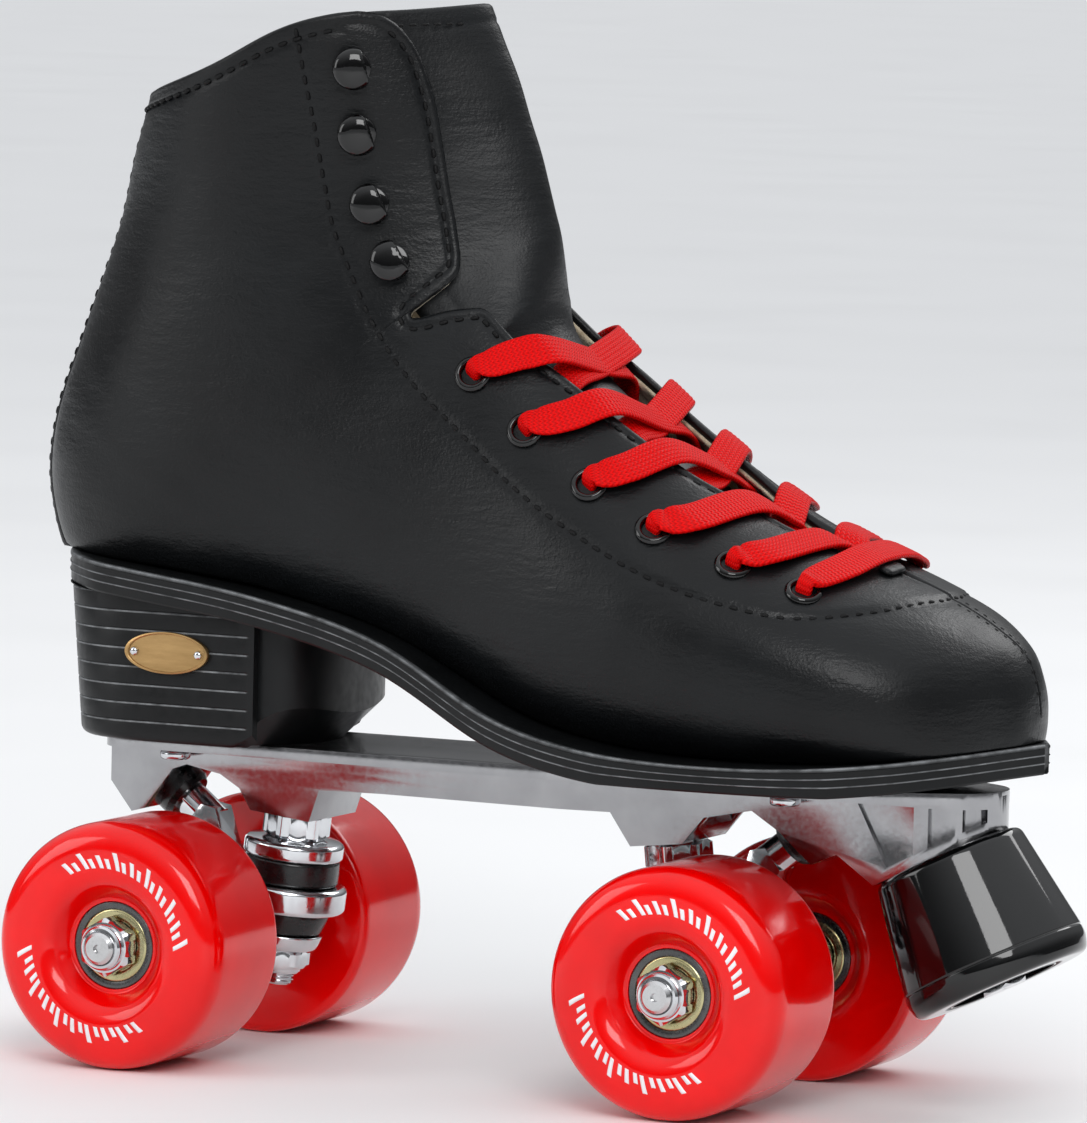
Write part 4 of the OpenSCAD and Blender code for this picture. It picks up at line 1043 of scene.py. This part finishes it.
def make_heel_block():
    """Core of the heel: a round nose in front, cut back below by a cone."""
    inset = WRAP_T + GAP
    hw = HEEL_HW - inset
    t = np.radians(np.linspace(90, -90, 61))[1:-1]
    c, s = np.cos(t), np.sin(t)
    nose = np.stack([NOSE_START + NOSE_LEN * np.abs(c) ** 0.85, hw * squared_off(s)], axis=1)
    plan = np.vstack([heel_plan(inset, NOSE_START), nose])
    cone_r = 31
    away = plan - [CORNER_X, 0]
    far = np.maximum(np.linalg.norm(away, axis=1, keepdims=True), 1e-6)
    cut = np.where((away[:, :1] > 0) & (far > cone_r), [CORNER_X, 0] + away / far * cone_r, plan)
    rows = [np.column_stack([cut, np.full(len(plan), PLATE_TOP + GAP)])]
    low = corner_floor(plan[:, 0], plan[:, 1], cone_r)
    for share in (0, 0.02, 0.1, 0.3, 0.5, 0.7, 0.9, 1.0):
        z = low + (heel_top(plan[:, 0]) - low) * share
        x = heel_lean(plan[:, 0], z)
        rows.append(np.column_stack([x, plan[:, 1], low + (heel_top(x) - low) * share]))
    loops = np.stack(rows)
    core = (loops.reshape(-1, 3), tube_faces(*loops.shape[:2]))
    add_mesh("heel_core", core, HEEL, ["heel_block"], sharp=34)


def make_badge():
    """Plain oval plate with a raised rim and a rivet at each end."""
    at = Matrix.Translation((-74.5, -HEEL_HW - GAP, 102.3)) @ Matrix.Rotation(math.pi / 2, 4, "X")
    turn = np.linspace(0, 2 * math.pi, 120, endpoint=False)
    steps = [(0, 0), (1, 0), (1, 0.7), (0.985, 1.0), (0.93, 1.15), (0.90, 1.0), (0.885, 0.72),
             (0.6, 0.74), (0, 0.78)]
    rows = [np.column_stack([11.8 * np.cos(turn) * max(s, 0.001), 5.3 * np.sin(turn) * max(s, 0.001),
                             np.full(120, h)]) for s, h in steps]
    face = (np.vstack(rows), grid_faces(len(steps), 120, wrap_cols=True))
    add_mesh("heel_badge_plate", placed(face, at), BADGE, ["heel_badge"], sharp=30)
    stud = lathe([(0, 0.6), (1.15, 0.6), (1.1, 1.1), (0.8, 1.45), (0.4, 1.58), (0, 1.6)], 32)
    rivets = [placed(stud, at @ Matrix.Translation((x, 0, 0))) for x in (-9.0, 9.0)]
    add_mesh("heel_badge_rivets", joined(rivets), CHROME)


# ---- Chassis ----
def bevelled(name, node_name, width, mat):
    """Copy of a CAD node with its edges rounded by a width in millimetres."""
    source = frame["nodes"][node_name]
    body = source["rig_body"]
    mesh = source.data.copy()
    mesh.name = name
    mesh.materials.clear()
    bm = bmesh.new()
    bm.from_mesh(mesh)
    bmesh.ops.remove_doubles(bm, verts=bm.verts, dist=1e-6)
    bmesh.ops.dissolve_limit(bm, angle_limit=math.radians(0.6), verts=bm.verts, edges=bm.edges)
    bm.to_mesh(mesh)
    bm.free()
    obj = bpy.data.objects.new(name, mesh)
    bpy.context.scene.collection.objects.link(obj)
    mod = obj.modifiers.new("edges", "BEVEL")
    mod.width = width / 1000
    mod.segments = 3
    mod.limit_method = "ANGLE"
    mod.angle_limit = math.radians(32)
    mod.use_clamp_overlap = True
    graph = bpy.context.evaluated_depsgraph_get()
    done = bpy.data.meshes.new_from_object(obj.evaluated_get(graph))
    obj.modifiers.clear()
    obj.data = done
    done.materials.append(mat)
    done.shade_smooth()
    done.set_sharp_from_angle(angle=math.radians(38))
    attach(obj, body)
    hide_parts(node_name)
    return obj


def kingpin_place(end):
    m = Matrix.Translation((BOSS[0], 0, BOSS[1])) @ Matrix.Rotation(math.radians(-KINGPIN_TILT), 4, "Y")
    return m if end > 0 else Matrix.Diagonal((-1, 1, 1, 1)) @ m


def wheel_place(end, side):
    turn = Matrix.Rotation(math.radians(90 if side < 0 else -90), 4, "X")
    return Matrix.Translation((end * AXLE_X, side * TRACK / 2, AXLE_Z)) @ turn


def make_truck(name, end):
    """Kingpin with its nuts, cupped washers and two rubber cushions, top to bottom."""
    at = kingpin_place(end)
    bore = KINGPIN_R + 0.1
    jam = placed(hex_nut(15, KINGPIN_R, 6.6), Matrix.Translation((0, 0, -6.7)))
    add_mesh(name + "_jam_nut_hex", placed(jam, at), CHROME, [name + "_jam_nut"], sharp=28)
    cup = rounded([(KINGPIN_R, -11.6), (12.2, -11.6), (12.7, -10.9), (12.7, -8.0), (11.9, -7.2),
                   (8.6, -6.8), (KINGPIN_R, -6.8)], [0.2, 0.5, 0.4, 0.9, 0.6, 0.6, 0.2])
    soft = rounded([(bore, -18.1), (12, -18.1), (12.15, -15), (12, -11.7), (bore, -11.7)],
                   [0.2, 0.9, 2, 0.9, 0.2], 5)
    cone = rounded([(bore, -30.9), (9.2, -30.9), (11, -26), (10.8, -25.1), (bore, -25.1)],
                   [0.2, 0.8, 0.8, 0.6, 0.2], 5)
    low = rounded([(4, -35), (8.6, -35), (9.4, -33.6), (10, -31.4), (9.8, -31), (4, -31)],
                  [0.2, 0.7, 0.8, 0.3, 0.2, 0.2])
    for part_name, form, profile, mat, sharp in (
            ("upper_washer", "cup", cup, CHROME, 40), ("upper_cushion", "ring", soft, RUBBER, 50),
            ("lower_cushion", "cone", cone, RUBBER, 50), ("lower_washer", "cup", low, CHROME, 40)):
        add_mesh(f"{name}_{part_name}_{form}", placed(lathe(profile), at), mat,
                 [f"{name}_{part_name}"], sharp=sharp)
    nut = placed(hex_nut(13, 4, 6.2, 1.6), Matrix.Translation((0, 0, -41.4)))
    flip = Matrix.Translation((0, 0, -76.6)) @ Matrix.Diagonal((1, 1, -1, 1))
    add_mesh(name + "_kingpin_nut_hex", placed(placed(nut, flip), at), CHROME,
             [name + "_kingpin_nut"], sharp=28)
    pin = [(0, 13), (KINGPIN_R - 0.4, 13), (KINGPIN_R, 12.5), (KINGPIN_R, -31), (4, -31.3), (4, -35)]
    for z in np.arange(-35, -43.6, -1.0):
        pin += [(4, z - 0.1), (3.45, z - 0.5), (4, z - 0.9)]
    pin += [(3.4, -44.2), (3.0, -44.5), (0, -44.5)]
    add_mesh(name + "_kingpin_bolt", placed(lathe(pin, 64), at), CHROME, [name + "_kingpin"], sharp=30)


def make_axles(name, end):
    body = name + "_truck"
    past_bearing = 8.6
    half = TRACK / 2 + BEARING_OUT + past_bearing
    profile = [(0, -half + 0.9), (0.9, -half + 0.9), (1.1, -half), (3.2, -half), (4, -half + 0.8)]
    for z in np.arange(0, 6):
        profile += [(4, -half + 0.9 + z), (3.72, -half + 1.4 + z), (4, -half + 1.9 + z)]
    profile = profile + [(r, -z) for r, z in profile[::-1]]
    turn = Matrix.Translation((end * AXLE_X, 0, AXLE_Z)) @ Matrix.Rotation(math.pi / 2, 4, "X")
    add_mesh(name + "_axle_rod", placed(lathe(profile, 64), turn), AXLE_STEEL,
             [name + "_axle"], body, sharp=30)
    nuts = [placed(placed(hex_nut(13, AXLE_R, 7.5, 2.2), Matrix.Translation((0, 0, BEARING_OUT))),
                   wheel_place(end, side)) for _, side in SIDES]
    add_mesh(name + "_axle_nut_hexes", joined(nuts), CHROME, [name + "_axle_nuts"], body, sharp=28)


def tyre_profile():
    half, outer_round, inner_round, seat = WHEEL_W / 2, 8.0, 2.5, BEARING_R
    corners = [(9.6, -BEARING_IN), (seat, -BEARING_IN), (seat, -BEARING_OUT), (seat + 1.2, -BEARING_OUT),
               (16.5, -half), (WHEEL_R, -half), (WHEEL_R, half), (16.5, half), (seat + 1.0, BEARING_OUT),
               (seat, BEARING_OUT), (seat, BEARING_IN), (9.6, BEARING_IN)]
    ease = [0.2, 0.1, 0.3, 0.4, 2.6, inner_round, outer_round * 1.25, 3.4, 1.2, 0.2, 0.1, 0.2]
    return rounded(corners, ease, 10)


def printed_bar(centre, length, width):
    """Slanted bar on the outer face of a wheel, centred at an angle in degrees."""
    half, bend = WHEEL_W / 2, 7.1
    t = np.linspace(0, 1, 12)[:, None]
    start, corner = np.array([WHEEL_R - bend, half]), np.array([WHEEL_R, half])
    end = np.array([WHEEL_R, half - bend])
    face = np.vstack([[[17.5, half]], (1 - t) ** 2 * start + 2 * t * (1 - t) * corner + t * t * end])
    step, first, middle_r = 0.2, 12, 21
    row = evenly(face, step)[first:first + max(int(length / step), 4)]
    tangent = unit(np.gradient(row, axis=0))
    lift = np.stack([-tangent[:, 1], tangent[:, 0]], axis=1)
    slant = 0.42
    across = np.array([-0.5, 0, 0.5]) * width
    sheets = []
    for height in (0.07, -0.05):
        p = row + lift * height
        lean = ((np.arange(len(row)) * step - length / 2) * slant)[:, None] / middle_r
        sweep = math.radians(centre) + lean + across / middle_r
        sheets.append(np.stack([p[:, :1] * np.cos(sweep), p[:, :1] * np.sin(sweep),
                                np.repeat(p[:, 1:], 3, axis=1)], axis=-1))
    return shell(*sheets)


def make_marks(name, body, at):
    """Plain white bars in two arcs, in place of the lettering on the wheel."""
    parts, lengths, width, spacing = [], (4.4, 2.6, 3.4, 2.6), 1.15, 6.2
    for middle in (62, 242):
        for i in range(19):
            bar = printed_bar(middle + (i - 9) * spacing, lengths[i % 4], width)
            parts.append(placed(bar, at))
    add_mesh(name + "_wheel_marks", joined(parts), INK, body=body)


def make_wheel(end_name, end, side_name, side):
    body = f"{end_name}_{side_name}_wheel"
    name = f"{end_name}_{side_name}"
    at = wheel_place(end, side)
    add_mesh(name + "_wheel_urethane", placed(lathe(tyre_profile(), 160), at), URETHANE,
             [name + "_tyre"], body, sharp=50)
    make_marks(name, body, at)
    race = rounded([(9.15, -3.4), (10.7, -3.5), (11, -3.2), (11, 3.2), (10.7, 3.5), (9.15, 3.4)], 0.15, 2)
    shield = rounded([(6.35, 2.75), (7.0, 2.7), (7.4, 3.0), (8.5, 3.05), (9.1, 2.75), (9.15, 3.1),
                      (8.6, 3.35), (7.2, 3.3), (6.7, 3.0), (6.35, 3.05)], 0.12, 2)
    rings, shields = [], []
    for z in (BEARING_IN + BEARING_W / 2, -BEARING_IN - BEARING_W / 2):
        place = at @ Matrix.Translation((0, 0, z))
        rings.append(placed(lathe(race), place))
        shields.append(placed(lathe(shield), place))
        shields.append(placed(lathe(shield * [1, -1]), place))
    add_mesh(name + "_bearing_rings", joined(rings), STEEL, [name + "_outer_races"], body, sharp=35)
    add_mesh(name + "_bearing_shields", joined(shields), ZINC, body=body, sharp=35)


def make_toe_stop():
    at = (Matrix.Translation((STOP[0], 0, STOP[1]))
          @ Matrix.Rotation(math.radians(-STOP_TILT), 4, "Y") @ Matrix.Translation((0, 0, -GAP)))
    h, rt, rl = 34.5, 19, 23.5
    part = -h + 6.5
    side = [(rl - 0.1, part + 0.35), (rl - 0.36, part), (rl - 0.1, part - 0.35)]
    rim = [(15.5, -h), (15.2, -h + 0.9), (14.2, -h + 0.9), (13.9, -h)]
    corners = [(4.2, 0), (rt, 0), *side, (rl, -h + 4), (rl - 1.2, -h), *rim, (13.5, -h), (13.5, -h + 5),
               (4.2, -h + 5)]
    ease = [0.2, 2.2, 0.15, 0.1, 0.15, 6, 4.5, 0.2, 0.2, 0.2, 0.2, 1.2, 0.6, 0.2]
    block = lathe(rounded(corners, ease, 9), 128)
    add_mesh("toe_stop_block", placed(block, at), STOP_RUBBER, ["toe_stop"], sharp=50)


def finish_cad_nodes():
    """Materials for the CAD nodes that stay as they are."""
    looks = {"mounting_screws": CHROME, "toe_stop_bolt": CHROME, "toe_stop_washer": CHROME}
    for end, _ in ENDS:
        looks[end + "_pivot_cup"] = RUBBER
        looks[end + "_spacers"] = AXLE_STEEL
        looks[end + "_inner_races"] = ZINC
        for side, _ in SIDES:
            looks[f"{end}_{side}_balls"] = STEEL
    for name, mat in looks.items():
        data = frame["nodes"][name].data
        data.materials.clear()
        data.materials.append(mat)


make_upper()
make_backstay()
make_lining()
make_tongue()
make_footbed()
make_eyelets()
make_hooks()
make_throat_tab()
make_lace()
make_outsole()
make_heel_wrap()
make_heel_block()
make_badge()
bevelled("plate_casting", "plate", 0.7, PLATE)
make_toe_stop()
for END, SIGN in ENDS:
    make_truck(END, SIGN)
    make_axles(END, SIGN)
    bevelled(END + "_hanger_casting", END + "_hanger", 0.5, CHROME)
    for SIDE, HAND in SIDES:
        make_wheel(END, SIGN, SIDE, HAND)
finish_cad_nodes()


# ---- Stage ----
def area_light(name, place, target, size, power, color=(1, 1, 1)):
    data = bpy.data.lights.new(name, "AREA")
    data.shape = "RECTANGLE"
    data.size, data.size_y = size
    data.energy = power
    data.color = color
    obj = bpy.data.objects.new(name, data)
    obj.location = place
    obj.rotation_euler = (Vector(target) - Vector(place)).to_track_quat("-Z", "Y").to_euler()
    bpy.context.scene.collection.objects.link(obj)


def make_floor():
    mat = material("pale_floor", (0.86, 0.86, 0.86), 0.6)
    rough(mat, noise(mat, coords(mat), 6, 3), 0.55, 0.7)
    mesh = bpy.data.meshes.new("floor")
    reach = 30
    corners = [(-reach, -reach, 0), (reach, -reach, 0), (reach, reach, 0), (-reach, reach, 0)]
    mesh.from_pydata(corners, [], [(0, 1, 2, 3)])
    mesh.materials.append(mat)
    floor = bpy.data.objects.new("floor", mesh)
    bpy.context.scene.collection.objects.link(floor)


def make_camera():
    """Camera at the photograph's angle: azimuth round the skate's right side, a little above it."""
    azimuth, elevation, roll = math.radians(25.447), math.radians(5.057), math.radians(1.291)
    distance = 2.2092
    target = Vector((0.01415 - MID_X / 1000, 0, 0.12822))
    back = Vector((math.sin(azimuth) * math.cos(elevation), -math.cos(azimuth) * math.cos(elevation),
                   math.sin(elevation)))
    right = Vector((math.cos(azimuth), math.sin(azimuth), 0))
    up = back.cross(right)
    turned_right = right * math.cos(roll) + up * math.sin(roll)
    turned_up = up * math.cos(roll) - right * math.sin(roll)
    data = bpy.data.cameras.new("camera")
    data.lens = 285.0
    data.sensor_width = 36
    data.sensor_fit = "AUTO"
    data.clip_end = 100
    obj = bpy.data.objects.new("camera", data)
    obj.matrix_world = Matrix.Translation(target + back * distance) @ Matrix(
        (turned_right, turned_up, back)).transposed().to_4x4()
    bpy.context.scene.collection.objects.link(obj)
    bpy.context.scene.camera = obj


def make_world():
    """Soft studio sky: dim at the horizon, bright overhead."""
    world = bpy.data.worlds.new("studio")
    world.use_nodes = True
    sky = world.node_tree.nodes["Background"]
    sky.inputs["Color"].default_value = (0.95, 0.97, 1.0, 1)
    direction = node(world, "ShaderNodeTexCoord")
    split = node(world, "ShaderNodeSeparateXYZ")
    lift = node(world, "ShaderNodeMapRange", interpolation_type="SMOOTHSTEP")
    for key, value in (("From Max", 0.95), ("To Min", 0.12), ("To Max", 1.15)):
        lift.inputs[key].default_value = value
    link(world, direction, split, 0, "Generated")
    link(world, split, lift, "Value", "Z")
    link(world, lift, sky, "Strength")
    bpy.context.scene.world = world


make_camera()
make_floor()
make_world()
area_light("key", (0.9, -1.5, 1.2), (0, 0, 0.12), (0.9, 0.9), 17)
area_light("fill", (-1.4, -1.2, 0.7), (0, 0, 0.15), (0.9, 0.9), 8)
area_light("rim", (0.5, 1.3, 1.2), (0, 0, 0.15), (1.0, 0.6), 7)
bpy.context.scene.view_settings.view_transform = "Standard"
